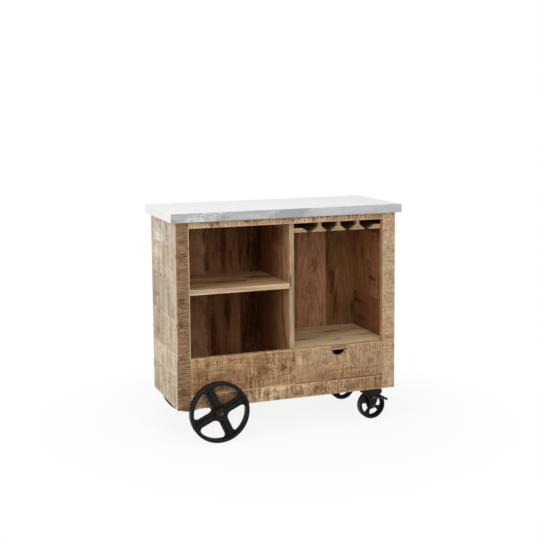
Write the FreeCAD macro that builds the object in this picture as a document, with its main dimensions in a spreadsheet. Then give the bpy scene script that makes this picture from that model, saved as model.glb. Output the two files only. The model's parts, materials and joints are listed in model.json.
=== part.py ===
import FreeCAD, Part

import os

import Sketcher

V = FreeCAD.Vector

# Cheese trolley: a wooden cabinet with open bays, a rack for stemmed glasses, one drawer and
# a metal-clad worktop, on two large spoked wheels at the left and two braked casters at the right.
# X runs to the right seen from the front, Y to the back, Z up; the floor is Z = 0 under the middle.
# Both kinds of wheel stand on the floor: the large ones set the height of the cabinet's underside,
# and the caster wheels fill what plate, ball race and fork leave of it.

DRIVING_SIZES = [
    # cabinet
    ("carcass_width", 960, "outside width of the cabinet under the worktop"),
    ("carcass_depth", 391, "outside depth of the cabinet"),
    ("carcass_height", 758, "height of the cabinet without its worktop"),
    ("panel_thickness", 22, "side planks, shelf and bottom panel"),
    ("back_thickness", 16, "vertical back boards"),
    ("narrow_back_board_width", 94, "back board beside the left end; the others share the rest"),
    ("frame_thickness", 28, "stiles, rails and front boards of the face frame"),
    ("stile_width", 57, "upright of the face frame"),
    ("top_rail_height", 28, "top rail of the face frame"),
    ("bottom_rail_height", 58, "bottom rail of the face frame"),
    ("front_board_height", 147, "fixed front board and drawer front"),
    ("divider_offset", 11, "middle of the cabinet to the divider"),
    ("divider_thickness", 20, "divider of two boards back to back"),
    ("shelf_drop", 278, "worktop underside to the shelf's upper face"),
    ("floor_board_thickness", 24, "floor of the right bay"),
    ("drawer_seam_offset", 16, "left face of the divider to the drawer's seam"),
    # five of the six planks of each end, counted from the top; the third takes what is left
    ("plank_1_height", 105, "uppermost end plank"),
    ("plank_2_height", 130, "second end plank"),
    ("plank_4_height", 142, "fourth end plank"),
    ("plank_5_height", 88, "fifth end plank"),
    ("plank_6_height", 134, "lowest end plank"),
    # worktop
    ("top_thickness", 35, "worktop with its sheet metal"),
    ("top_overhang_side", 20, "worktop beyond each end of the cabinet"),
    ("top_overhang_front", 22, "worktop beyond the front and the back"),
    ("sheet_thickness", 1.2, "sheet metal of the worktop"),
    ("sheet_corner_radius", 3, "folded corner of the sheet metal"),
    ("sheet_play", 0.1, "room between the sheet metal and the board in it"),
    # glass rack
    ("rail_drop", 70, "worktop underside to the rails' lower face"),
    ("rail_foot_height", 22, "foot of a glass rail, up to where the slopes meet the stem"),
    ("rail_lip", 3, "upright edge of a glass rail's foot"),
    ("rail_stem_width", 16, "stem of a glass rail"),
    ("glass_slot", 22.5, "gap between two rail feet"),
    ("left_block_width", 61, "block at the left end of the rack"),
    ("right_block_width", 84, "block at the right end of the rack"),
    ("end_block_height", 18, "block at each end of the rack"),
    ("end_block_slope", 22, "width of the slope on an end block"),
    # drawer
    ("drawer_gap", 1.5, "gap round the drawer front"),
    ("drawer_clearance", 0.3, "drawer to what it closes against or slides on"),
    ("drawer_side_thickness", 15, "sides and back of the drawer box"),
    ("drawer_side_height", 104, "sides of the drawer box"),
    ("drawer_side_gap", 13, "drawer box to the frame at each side"),
    ("drawer_back_gap", 22, "drawer box to the back boards"),
    ("drawer_bottom_thickness", 6, "bottom of the drawer box"),
    ("drawer_bottom_rise", 10, "bottom of the drawer above the sides' lower edges"),
    ("runner_height", 16, "wooden runner in the groove of a drawer side"),
    ("runner_depth", 7, "runner inside its groove"),
    ("groove_floor_gap", 1, "runner's edge to the floor of its groove"),
    ("runner_block_height", 60, "block that brings the right runner past the stile"),
    ("grip_radius", 39, "half-round finger grip in the drawer front"),
    ("grip_straight", 5, "straight part of the grip above its half round"),
    # large wheels
    ("wheel_diameter", 248, "large spoked wheel"),
    ("wheel_width", 30, "tread of a large wheel"),
    ("wheel_offset", 33, "middle of a large wheel outside the cabinet's face"),
    ("wheel_rim", 15, "rim thickness, inwards from the tread"),
    ("wheel_rim_bevel", 3, "bevel at the rim's edges"),
    ("wheel_web", 8, "flat web of the spokes"),
    ("spoke_width", 38, "flat web of one spoke"),
    ("spoke_rib_width", 18, "raised rib along a spoke at its root"),
    ("spoke_rib_crest", 9, "raised rib along a spoke at its crest"),
    ("spoke_rib_height", 8, "raised rib above the web"),
    ("spoke_inner_fillet", 24, "round between two spokes at the hub"),
    ("spoke_outer_fillet", 15, "round between spoke and rim"),
    ("wheel_turn", 25, "degrees by which the spokes stand turned"),
    ("hub_diameter", 56, "hub of a large wheel at the web"),
    ("hub_draft", 3, "hub radius lost towards each end"),
    ("hub_length", 52, "hub of a large wheel"),
    ("hub_recess_diameter", 30, "recess for the axle nut"),
    ("hub_recess_depth", 9, "recess for the axle nut"),
    ("axle_drop", 12, "axle below the cabinet's underside"),
    ("axle_offset", 163, "left end of the cabinet to the axle"),
    ("axle_diameter", 18, "axle between the wheels"),
    ("journal_diameter", 16, "axle inside the wheels"),
    ("journal_end", 14, "journal beyond the hub recess floor"),
    ("running_clearance", 0.05, "radial play of a shaft in its hole"),
    ("end_play", 0.3, "play between neighbours that turn on each other"),
    ("washer_thickness", 2.5, "axle washer"),
    ("washer_diameter", 27, "axle washer"),
    ("nut_width", 20, "axle nut across its corners"),
    ("nut_height", 8, "axle nut"),
    ("bracket_width", 84, "axle bracket"),
    ("bracket_length", 26, "axle bracket along the axle"),
    ("bracket_flange", 7, "axle bracket's ears"),
    ("bracket_boss_radius", 17, "axle bracket round the axle"),
    ("bracket_inset", 40, "cabinet's face to the middle of the axle bracket"),
    ("bracket_hole_inset", 11, "end of a bracket to its screw"),
    # casters
    ("caster_inset", 102, "right end of the cabinet to a caster's swivel axis"),
    ("caster_face_inset", 40, "cabinet's face to a caster's swivel axis"),
    ("caster_trail", 10, "swivel axis to the caster's wheel axle"),
    ("plate_length", 90, "caster plate along X"),
    ("plate_width", 68, "caster plate along Y"),
    ("plate_thickness", 5, "caster plate"),
    ("plate_corner_radius", 8, "caster plate corners"),
    ("plate_hole_x", 35, "plate centre to a screw along X"),
    ("plate_hole_y", 22, "plate centre to a screw along Y"),
    ("race_diameter", 56, "ball race under the plate"),
    ("race_height", 5, "ball race under the plate"),
    ("crown_thickness", 6, "top of the caster's fork"),
    ("crown_diameter", 66, "top of the caster's fork"),
    ("kingpin_diameter", 12, "pin that the fork swivels on"),
    ("kingpin_head", 20, "countersunk head of the pin"),
    ("caster_crown_gap", 1.7, "caster wheel to the crown of its fork; the wheel fills the height below"),
    ("caster_wheel_width", 30, "caster wheel tread"),
    ("caster_rim", 11, "caster wheel rim"),
    ("caster_rim_bevel", 2, "bevels of the caster wheel's rim and hub"),
    ("caster_web", 8, "caster wheel web"),
    ("caster_hub_diameter", 30, "caster wheel hub"),
    ("caster_hub_length", 33, "caster wheel hub"),
    ("caster_bolt_diameter", 10, "caster wheel axle"),
    ("bolt_hole_play", 0.2, "radial play of the caster bolt in the fork"),
    ("kidney_margin", 5, "hole in the caster wheel to its rim and hub"),
    ("kidney_half_angle", 31, "half the sweep of one hole in the caster wheel, in degrees"),
    ("kidney_fillet", 6, "rounded corners of those holes"),
    ("caster_wheel_turn", 18, "degrees by which the caster wheel stands turned"),
    ("leg_thickness", 5, "leg of the caster's fork"),
    ("shoulder_width", 84, "shoulders of the caster's fork, beside its crown"),
    ("shoulder_drop", 8, "shoulders of the fork below its crown"),
    ("shoulder_slope", 8, "height over which the shoulders draw in to the leg"),
    ("leg_top_width", 52, "leg of the caster's fork under its shoulders"),
    ("leg_end_radius", 12, "rounded lower end of the leg"),
    ("leg_rib_height", 3, "raised edge rib of the leg"),
    ("leg_rib_width", 5, "raised edge rib of the leg"),
    ("leg_rib_clearance", 1, "lower end of a leg's rib above the bolt's head"),
    ("bolt_head_width", 17, "caster bolt head and nut across their corners"),
    ("bolt_head_height", 5, "caster bolt head and nut"),
    # caster brake
    ("brake_pivot_x", 8, "swivel axis to the brake's pivot"),
    ("brake_pivot_rise", 38, "wheel axle to the brake's pivot, upwards"),
    ("brake_pin_diameter", 6, "pin of the brake lever in the fork"),
    ("brake_pin_head", 2, "head of the brake's pin: its rim round the pin, and its height"),
    ("brake_boss_diameter", 14, "boss of the brake lever"),
    ("brake_boss_height", 8, "boss of the brake lever"),
    ("brake_rod_diameter", 7, "rod of the brake lever"),
    ("brake_bar_diameter", 8, "cross bar that presses on the tread"),
    ("brake_bar_rise", 25, "wheel axle to the cross bar, upwards"),
    ("brake_bar_gap", 2, "cross bar to the tread when released"),
    ("brake_bar_reach", 12, "cross bar past the middle of the wheel"),
    ("brake_knob_diameter", 12, "round end of the brake lever"),
    # screws under the cabinet
    ("screw_diameter", 6, "coach screw"),
    ("screw_depth", 16, "coach screw in the wood"),
    ("screw_head_width", 11.5, "coach screw head across its corners"),
    ("screw_head_height", 4, "coach screw head"),
    ("screw_hole_play", 0.5, "radial play of a screw in a metal plate"),
    ("pilot_play", 0.05, "radial play of a screw in the wood"),
]
BACK_BOARDS = 7
GLASS_RAILS = 3
SPOKES = 4
KIDNEYS = 4
SIDES = {"front": -1, "rear": 1}
CUT_BEYOND = "1"  # how far a cut runs past the face that it opens
SAME_PLACE = 1e-6  # two lengths or directions closer than this are the same

doc = FreeCAD.newDocument("cheese_trolley")
size = doc.addObject("Spreadsheet::Sheet", "size")
for row, (alias, value, meaning) in enumerate(DRIVING_SIZES, start=1):
    size.set(f"A{row}", alias)
    size.set(f"B{row}", str(value))
    size.set(f"C{row}", meaning)
    size.setAlias(f"B{row}", alias)
doc.recompute()

# Places that follow from the driving sizes, as expressions over the sheet.
LEFT = "(-size.carcass_width / 2)"
RIGHT = "(size.carcass_width / 2)"
FRONT = "(-size.carcass_depth / 2)"
BACK = "(size.carcass_depth / 2)"
AXLE_Z = "(size.wheel_diameter / 2)"
UNDERSIDE = f"({AXLE_Z} + size.axle_drop)"
CARCASS_TOP = f"({UNDERSIDE} + size.carcass_height)"
FRAME_BACK = f"({FRONT} + size.frame_thickness)"
INNER_LEFT = f"({LEFT} + size.panel_thickness)"
INNER_RIGHT = f"({RIGHT} - size.panel_thickness)"
INNER_BACK = f"({BACK} - size.back_thickness)"
STILE_IN_LEFT = f"({LEFT} + size.stile_width)"
STILE_IN_RIGHT = f"({RIGHT} - size.stile_width)"
DIVIDER_LEFT = "size.divider_offset"
DIVIDER_MIDDLE = f"({DIVIDER_LEFT} + size.divider_thickness / 2)"
DIVIDER_RIGHT = f"({DIVIDER_LEFT} + size.divider_thickness)"
BOTTOM_RAIL_TOP = f"({UNDERSIDE} + size.bottom_rail_height)"
FRONT_BOARD_TOP = f"({BOTTOM_RAIL_TOP} + size.front_board_height)"
PANEL_TOP = f"({UNDERSIDE} + size.panel_thickness)"
SHELF_TOP = f"({CARCASS_TOP} - size.shelf_drop)"
SEAM = f"({DIVIDER_LEFT} + size.drawer_seam_offset)"
RAIL_BOTTOM = f"({CARCASS_TOP} - size.rail_drop)"
DRAWER_BACK_OF_FRONT = f"({FRAME_BACK} - size.drawer_clearance)"
BOX_LEFT = f"({DIVIDER_RIGHT} + size.drawer_side_gap)"
BOX_RIGHT = f"({STILE_IN_RIGHT} - size.drawer_side_gap)"
BOX_BACK = f"({INNER_BACK} - size.drawer_back_gap)"
BOX_LOW = f"({BOTTOM_RAIL_TOP} + size.drawer_side_gap)"
BOX_HIGH = f"({BOX_LOW} + size.drawer_side_height)"
RUNNER_LOW = f"(({BOX_LOW} + {BOX_HIGH}) / 2 - size.runner_height / 2)"
RUNNER_HIGH = f"({RUNNER_LOW} + size.runner_height)"
AXLE_X = f"({LEFT} + size.axle_offset)"
WHEEL_Y = f"(size.carcass_depth / 2 + size.wheel_offset)"
CASTER_X = f"({RIGHT} - size.caster_inset)"
CASTER_Y = f"(size.carcass_depth / 2 - size.caster_face_inset)"
PLATE_LOW = f"({UNDERSIDE} - size.plate_thickness)"
RACE_LOW = f"({PLATE_LOW} - size.race_height)"
CROWN_TOP = f"({RACE_LOW} - size.end_play)"
CROWN_LOW = f"({CROWN_TOP} - size.crown_thickness)"
CASTER_AXLE_Z = f"(({CROWN_LOW} - size.caster_crown_gap) / 2)"
LEG_INNER = "(size.caster_hub_length / 2 + size.end_play)"
LEG_OUTER = f"({LEG_INNER} + size.leg_thickness)"

nodes = []


def number(expression):
    """The present value of an expression over the sheet."""
    result = size.evalExpression(expression)
    return float(getattr(result, "Value", result))


def place(item, x="0", y="0", z="0", rotation=None):
    """Puts an object at a place given by expressions."""
    if rotation is not None:
        item.Placement = FreeCAD.Placement(V(0, 0, 0), rotation)
    item.setExpression("Placement.Base.x", x)
    item.setExpression("Placement.Base.y", y)
    item.setExpression("Placement.Base.z", z)


def keep(item, label):
    """Marks an object as a piece of the trolley under its own name."""
    item.Label = label
    nodes.append(item)
    return item


def box(name, x, y, z):
    """A box from three (low, high) pairs of expressions."""
    item = doc.addObject("Part::Box", name)
    item.setExpression("Length", f"{x[1]} - {x[0]}")
    item.setExpression("Width", f"{y[1]} - {y[0]}")
    item.setExpression("Height", f"{z[1]} - {z[0]}")
    place(item, x[0], y[0], z[0])
    return item


def board(label, x, y, z):
    """A plain board that is a piece of its own."""
    return keep(box(label, x, y, z), label)


def cylinder(name, radius, height, x, y, z, rotation=None):
    item = doc.addObject("Part::Cylinder", name)
    item.setExpression("Radius", radius)
    item.setExpression("Height", height)
    place(item, x, y, z, rotation)
    return item


def cut(name, base, tool):
    item = doc.addObject("Part::Cut", name)
    item.Base = base
    item.Tool = tool
    return item


def fuse(name, shapes):
    item = doc.addObject("Part::MultiFuse", name)
    item.Shapes = shapes
    return item


def group(name, items):
    """Separate solids under one name, such as a set of screws."""
    item = doc.addObject("Part::Compound", name)
    item.Links = items
    return item


def body(name):
    return doc.addObject("PartDesign::Body", name)


def origin_feature(owner, role):
    return next(item for item in owner.Origin.OriginFeatures if item.Role == role)


def sketch_on(owner, plane, name, offset="0"):
    """An empty sketch on one of the body's own planes, moved along its normal."""
    sketch = owner.newObject("Sketcher::SketchObject", name)
    sketch.AttachmentSupport = [(origin_feature(owner, plane), "")]
    sketch.MapMode = "FlatFace"
    sketch.setExpression("AttachmentOffset.Base.z", offset)
    return sketch


def fix_point(sketch, geometry, corner, x, y):
    """Ties one corner of a sketch to two expressions."""
    for axis, expression in (("DistanceX", x), ("DistanceY", y)):
        index = sketch.addConstraint(
            Sketcher.Constraint(axis, -1, 1, geometry, corner, number(expression)))
        sketch.setExpression(f"Constraints[{index}]", expression)


def outline(sketch, corners):
    """A closed outline through corners (x, y), or (x, y, radius) where an arc leads to the corner.

    A positive radius bends the arc anticlockwise, a negative one clockwise.
    """
    points = [V(number(corner[0]), number(corner[1]), 0) for corner in corners]
    edges = []
    for index, corner in enumerate(corners):
        start = points[index - 1]
        end = points[index]
        if len(corner) == 2:
            edges.append(sketch.addGeometry(Part.LineSegment(start, end)))
            continue
        radius = number(corner[2])
        chord = end - start
        rise = max(radius ** 2 - (chord.Length / 2) ** 2, 0) ** 0.5
        side = V(-chord.y, chord.x, 0).normalize() * rise * (1 if radius > 0 else -1)
        circle = Part.Circle((start + end) / 2 + side, V(0, 0, 1), abs(radius))
        first, last = (start, end) if radius > 0 else (end, start)
        arc = Part.ArcOfCircle(circle, circle.parameter(first), circle.parameter(last))
        edges.append(sketch.addGeometry(arc))
    for index, corner in enumerate(corners):
        edge = edges[index]
        following = edges[(index + 1) % len(edges)]
        next_corner = corners[(index + 1) % len(corners)]
        end_side = 1 if len(corner) == 3 and number(corner[2]) < 0 else 2
        start_side = 2 if len(next_corner) == 3 and number(next_corner[2]) < 0 else 1
        sketch.addConstraint(Sketcher.Constraint("Coincident", edge, end_side, following, start_side))
        fix_point(sketch, edge, end_side, corner[0], corner[1])
    for index, corner in enumerate(corners):
        if len(corner) == 3:
            radius = corner[2].lstrip("-")
            place_in_list = sketch.addConstraint(
                Sketcher.Constraint("Radius", edges[index], number(radius)))
            sketch.setExpression(f"Constraints[{place_in_list}]", radius)


def circle_on(sketch, x, y, radius):
    """A circle whose middle and radius follow expressions."""
    middle = V(number(x), number(y), 0)
    index = sketch.addGeometry(Part.Circle(middle, V(0, 0, 1), number(radius)))
    fix_point(sketch, index, 3, x, y)
    position = sketch.addConstraint(Sketcher.Constraint("Radius", index, number(radius)))
    sketch.setExpression(f"Constraints[{position}]", radius)


def pad(owner, sketch, name, length, symmetric=False, backwards=False):
    feature = owner.newObject("PartDesign::Pad", name)
    feature.Profile = sketch
    feature.setExpression("Length", length)
    feature.Midplane = symmetric
    feature.Reversed = backwards
    return feature


def pocket_through(owner, sketch, name):
    """Cuts a sketch's outline through the whole body, both ways."""
    feature = owner.newObject("PartDesign::Pocket", name)
    feature.Profile = sketch
    feature.Type = "ThroughAll"
    feature.Midplane = True
    return feature


def revolve(owner, sketch, name):
    feature = owner.newObject("PartDesign::Revolution", name)
    feature.Profile = sketch
    feature.ReferenceAxis = (sketch, ["V_Axis"])
    feature.Angle = 360
    return feature


def polar(owner, features, name, count):
    feature = owner.newObject("PartDesign::PolarPattern", name)
    feature.Originals = features
    feature.Axis = (origin_feature(owner, "Z_Axis"), [""])
    feature.Angle = 360
    feature.Occurrences = count
    owner.Tip = feature
    return feature


def edges_where(feature, test):
    """Names of a feature's edges that pass a test."""
    return [f"Edge{index}" for index, edge in enumerate(feature.Shape.Edges, start=1) if test(edge)]


def fillet(owner, base, name, radius, test):
    """Rounds the chosen edges of the last feature."""
    doc.recompute()
    feature = owner.newObject("PartDesign::Fillet", name)
    feature.Base = (base, edges_where(base, test))
    feature.setExpression("Radius", radius)
    return feature


def is_parallel(edge, axis):
    """True for a straight edge along an axis."""
    if not isinstance(edge.Curve, Part.Line):
        return False
    return abs(abs(edge.Curve.Direction.dot(axis)) - 1) < SAME_PLACE


# ---------------------------------------------------------------- cabinet

def end_planks(side, x):
    """Six horizontal planks: two laid down from the worktop, three up from the underside, one between."""
    y = (FRAME_BACK, BACK)
    high = CARCASS_TOP
    for index in (1, 2):
        seam = f"({high} - size.plank_{index}_height)"
        board(f"{side}_end_plank_{index}", x, y, (seam, high))
        high = seam
    low = UNDERSIDE
    for index in (6, 5, 4):
        seam = f"({low} + size.plank_{index}_height)"
        board(f"{side}_end_plank_{index}", x, y, (low, seam))
        low = seam
    board(f"{side}_end_plank_3", x, y, (low, high))


def back_boards():
    """Vertical boards between the ends, laid from the right; the narrow one comes last."""
    full_width = f"(({INNER_RIGHT} - {INNER_LEFT} - size.narrow_back_board_width) / {BACK_BOARDS - 1})"
    high = INNER_RIGHT
    for index in range(1, BACK_BOARDS + 1):
        low = f"({high} - {full_width})" if index < BACK_BOARDS else INNER_LEFT
        board(f"back_board_{index}", (low, high), (INNER_BACK, BACK), (PANEL_TOP, CARCASS_TOP))
        high = low


def face_frame():
    upright = (UNDERSIDE, CARCASS_TOP)
    between = (STILE_IN_LEFT, STILE_IN_RIGHT)
    depth = (FRONT, FRAME_BACK)
    board("front_stile_left", (LEFT, STILE_IN_LEFT), depth, upright)
    board("front_stile_right", (STILE_IN_RIGHT, RIGHT), depth, upright)
    board("front_top_rail", between, depth, (f"({CARCASS_TOP} - size.top_rail_height)", CARCASS_TOP))
    seam_edge = f"({SEAM} - size.drawer_gap / 2)"
    board("front_fixed_board", (STILE_IN_LEFT, seam_edge), depth, (BOTTOM_RAIL_TOP, FRONT_BOARD_TOP))


def interior():
    inner_depth = (FRAME_BACK, INNER_BACK)
    upright = (PANEL_TOP, CARCASS_TOP)
    board("divider_left_board", (DIVIDER_LEFT, DIVIDER_MIDDLE), inner_depth, upright)
    board("divider_right_board", (DIVIDER_MIDDLE, DIVIDER_RIGHT), inner_depth, upright)
    board("left_shelf", (INNER_LEFT, DIVIDER_LEFT), inner_depth,
          (f"({SHELF_TOP} - size.panel_thickness)", SHELF_TOP))
    board("right_floor_board", (DIVIDER_RIGHT, INNER_RIGHT), inner_depth,
          (f"({FRONT_BOARD_TOP} - size.floor_board_thickness)", FRONT_BOARD_TOP))


def screw_places():
    """Where coach screws go up into the cabinet, as (x, y, face that the head bears on)."""
    spots = []
    bracket_hole = "(size.bracket_width / 2 - size.bracket_hole_inset)"
    for turn in SIDES.values():
        bracket_y = f"({turn} * (size.carcass_depth / 2 - size.bracket_inset))"
        caster_y = f"({turn} * {CASTER_Y})"
        for side in (-1, 1):
            spots.append((f"({AXLE_X} + {side} * {bracket_hole})", bracket_y,
                          f"({UNDERSIDE} - size.bracket_flange)"))
            for row in (-1, 1):
                spots.append((f"({CASTER_X} + {side} * size.plate_hole_x)",
                              f"({caster_y} + {row} * size.plate_hole_y)", PLATE_LOW))
    return spots


def drilled(label, blank, spots):
    """A board with a pilot hole for each coach screw that enters it."""
    radius = "size.screw_diameter / 2 + size.pilot_play"
    holes = [cylinder(f"{label}_hole_{index}", radius, "size.screw_depth + size.pilot_play", x, y, UNDERSIDE)
             for index, (x, y, _) in enumerate(spots, start=1)]
    keep(cut(f"{label}_drilled", blank, group(f"{label}_holes", holes)), label)


def bottom():
    """Bottom rail and bottom panel, drilled for what hangs under them."""
    rail = box("bottom_rail_blank", (STILE_IN_LEFT, STILE_IN_RIGHT), (FRONT, FRAME_BACK),
               (UNDERSIDE, BOTTOM_RAIL_TOP))
    panel = box("bottom_panel_blank", (INNER_LEFT, INNER_RIGHT), (FRAME_BACK, BACK), (UNDERSIDE, PANEL_TOP))
    frame_back = number(FRAME_BACK)
    drilled("front_bottom_rail", rail, [spot for spot in screw_places() if number(spot[1]) < frame_back])
    drilled("bottom_panel", panel, [spot for spot in screw_places() if number(spot[1]) > frame_back])


def underside_screws():
    """Coach screws that hold the casters and the axle brackets."""
    screws = []
    for index, (x, y, seat) in enumerate(screw_places(), start=1):
        head = doc.addObject("Part::Prism", f"screw_head_{index}")
        head.Polygon = 6
        head.setExpression("Circumradius", "size.screw_head_width / 2")
        head.setExpression("Height", "size.screw_head_height")
        place(head, x, y, f"({seat} - size.screw_head_height)")
        shank = cylinder(f"screw_shank_{index}", "size.screw_diameter / 2",
                         f"{UNDERSIDE} + size.screw_depth - {seat} + size.screw_head_height",
                         x, y, f"({seat} - size.screw_head_height)")
        screws.append(fuse(f"screw_{index}", [head, shank]))
    keep(group("underside_screw_set", screws), "underside_screws")


# ---------------------------------------------------------------- worktop

def worktop():
    """A board under a cover of folded sheet metal."""
    half_x = "(size.carcass_width / 2 + size.top_overhang_side)"
    half_y = "(size.carcass_depth / 2 + size.top_overhang_front)"
    margin = "(size.sheet_thickness + size.sheet_play)"
    core_x = (f"(-({half_x} - {margin}))", f"({half_x} - {margin})")
    core_y = (f"(-({half_y} - {margin}))", f"({half_y} - {margin})")
    board("worktop_board", core_x, core_y, (CARCASS_TOP, f"({CARCASS_TOP} + size.top_thickness - {margin})"))

    cover = body("worktop_cover_body")
    outer = sketch_on(cover, "XY_Plane", "cover_outer")
    outline(outer, [(f"-{half_x}", f"-{half_y}"), (half_x, f"-{half_y}"),
                    (half_x, half_y), (f"-{half_x}", half_y)])
    block = pad(cover, outer, "cover_block", "size.top_thickness")
    doc.recompute()
    upper = number("size.top_thickness")
    fillet(cover, block, "cover_rounding", "size.sheet_corner_radius",
           lambda edge: edge.BoundBox.ZMax > upper - SAME_PLACE)
    inner = sketch_on(cover, "XY_Plane", "cover_inner")
    gap_x = f"({half_x} - size.sheet_thickness)"
    gap_y = f"({half_y} - size.sheet_thickness)"
    outline(inner, [(f"-{gap_x}", f"-{gap_y}"), (gap_x, f"-{gap_y}"), (gap_x, gap_y), (f"-{gap_x}", gap_y)])
    hollow = cover.newObject("PartDesign::Pocket", "cover_hollow")
    hollow.Profile = inner
    hollow.Reversed = True
    hollow.setExpression("Length", "size.top_thickness - size.sheet_thickness")
    place(cover, z=CARCASS_TOP)
    keep(cover, "worktop_cover")


# ---------------------------------------------------------------- glass rack

def glass_rail(label, middle, corners):
    """A rail with the given section, running from the face frame to the back."""
    rail = body(f"{label}_body")
    section = sketch_on(rail, "XZ_Plane", f"{label}_section")
    outline(section, corners)
    pad(rail, section, f"{label}_length", f"{INNER_BACK} - {FRAME_BACK}", backwards=True)
    place(rail, middle, FRAME_BACK, RAIL_BOTTOM)
    keep(rail, label)


def glass_rack():
    """Rails like an upturned T, a sloped block at each end, and even gaps between their feet."""
    bay = f"({INNER_RIGHT} - {DIVIDER_RIGHT})"
    blocks = "(size.left_block_width + size.right_block_width)"
    slots = f"({GLASS_RAILS + 1} * size.glass_slot)"
    foot_width = f"(({bay} - {blocks} - {slots}) / {GLASS_RAILS})"
    foot = f"({foot_width} / 2)"
    stem = "size.rail_stem_width / 2"
    tee = [(f"-{foot}", "0"), (foot, "0"), (foot, "size.rail_lip"), (stem, "size.rail_foot_height"),
           (stem, "size.rail_drop"), (f"-{stem}", "size.rail_drop"),
           (f"-{stem}", "size.rail_foot_height"), (f"-{foot}", "size.rail_lip")]
    first = f"({DIVIDER_RIGHT} + size.left_block_width + size.glass_slot + {foot})"
    for index in range(GLASS_RAILS):
        middle = f"({first} + {index} * ({foot_width} + size.glass_slot))"
        glass_rail(f"glass_rail_{index + 1}", middle, tee)
    for side, x, toward, width in (("left", DIVIDER_RIGHT, "", "size.left_block_width"),
                                   ("right", INNER_RIGHT, "-", "size.right_block_width")):
        glass_rail(f"glass_rail_{side}_block", x, end_block(toward, width))


def end_block(toward, width):
    """Section of a block against the bay's side; its sloped face looks to the rails."""
    slope_start = f"{toward}({width} - size.end_block_slope)"
    corners = [("0", "0"), (f"{toward}{width}", "0"), (f"{toward}{width}", "size.rail_lip"),
               (slope_start, "size.end_block_height"), ("0", "size.end_block_height")]
    return corners if toward == "" else corners[::-1]


# ---------------------------------------------------------------- drawer

def drawer_front():
    """The front board with its half-round finger grip."""
    front = body("drawer_front_body")
    low_x = f"({SEAM} + size.drawer_gap / 2)"
    high_x = f"({STILE_IN_RIGHT} - size.drawer_gap)"
    low_z = f"({BOTTOM_RAIL_TOP} + size.drawer_gap)"
    middle = f"(({low_x} + {high_x}) / 2)"
    grip_z = f"({FRONT_BOARD_TOP} - size.grip_straight)"
    face = sketch_on(front, "XZ_Plane", "drawer_front_face")
    outline(face, [(low_x, low_z), (high_x, low_z), (high_x, FRONT_BOARD_TOP),
                   (f"{middle} + size.grip_radius", FRONT_BOARD_TOP),
                   (f"{middle} + size.grip_radius", grip_z),
                   (f"{middle}", f"{grip_z} - size.grip_radius", "-size.grip_radius"),
                   (f"{middle} - size.grip_radius", grip_z, "-size.grip_radius"),
                   (f"{middle} - size.grip_radius", FRONT_BOARD_TOP), (low_x, FRONT_BOARD_TOP)])
    pad(front, face, "drawer_front_board", "size.frame_thickness - size.drawer_clearance", backwards=True)
    place(front, y=FRONT)
    keep(front, "drawer_front")


def sorted_pair(first, second):
    return (first, second) if number(first) < number(second) else (second, first)


def drawer_side(label, outer, inner, groove_floor):
    """A side with a groove for its runner on the outside, and one for the bottom inside."""
    y = (DRAWER_BACK_OF_FRONT, BOX_BACK)
    blank = box(f"{label}_blank", sorted_pair(outer, inner), y, (BOX_LOW, BOX_HIGH))
    play = "size.drawer_clearance"
    groove = box(f"{label}_groove", sorted_pair(outer, groove_floor), y,
                 (f"({RUNNER_LOW} - {play})", f"({RUNNER_HIGH} + {play})"))
    keep(cut(f"{label}_grooved", blank, groove), label)


def drawer():
    groove_depth = "(size.runner_depth + size.groove_floor_gap)"
    inner_left = f"({BOX_LEFT} + size.drawer_side_thickness)"
    inner_right = f"({BOX_RIGHT} - size.drawer_side_thickness)"
    drawer_front()
    drawer_side("drawer_side_left", BOX_LEFT, inner_left, f"({BOX_LEFT} + {groove_depth})")
    drawer_side("drawer_side_right", BOX_RIGHT, inner_right, f"({BOX_RIGHT} - {groove_depth})")
    bottom_low = f"({BOX_LOW} + size.drawer_bottom_rise)"
    bottom_high = f"({bottom_low} + size.drawer_bottom_thickness)"
    board("drawer_back", (inner_left, inner_right),
          (f"({BOX_BACK} - size.drawer_side_thickness)", BOX_BACK), (bottom_high, BOX_HIGH))
    board("drawer_bottom", (inner_left, inner_right), (DRAWER_BACK_OF_FRONT, BOX_BACK),
          (bottom_low, bottom_high))


def drawer_runners():
    """Wooden runners in the drawer's grooves; the right one stands off past the stile."""
    y = (FRAME_BACK, INNER_BACK)
    tongue_left = f"({BOX_LEFT} + size.runner_depth)"
    board("drawer_runner_left", (DIVIDER_RIGHT, tongue_left), y, (RUNNER_LOW, RUNNER_HIGH))
    runner = body("drawer_runner_right_body")
    section = sketch_on(runner, "XZ_Plane", "runner_right_section")
    low = f"({RUNNER_LOW} + size.runner_height / 2 - size.runner_block_height / 2)"
    high = f"({low} + size.runner_block_height)"
    tongue = f"({BOX_RIGHT} - size.runner_depth)"
    outline(section, [(STILE_IN_RIGHT, low), (INNER_RIGHT, low), (INNER_RIGHT, high), (STILE_IN_RIGHT, high),
                      (STILE_IN_RIGHT, RUNNER_HIGH), (tongue, RUNNER_HIGH),
                      (tongue, RUNNER_LOW), (STILE_IN_RIGHT, RUNNER_LOW)])
    pad(runner, section, "runner_right_length", f"{INNER_BACK} - {FRAME_BACK}", backwards=True)
    place(runner, y=FRAME_BACK)
    keep(runner, "drawer_runner_right")


# ---------------------------------------------------------------- large wheels

def outward(side):
    """Turns local +Z away from the cabinet at the front (-1) or the rear (1)."""
    return FreeCAD.Rotation(V(1, 0, 0), -90 * side)


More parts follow.
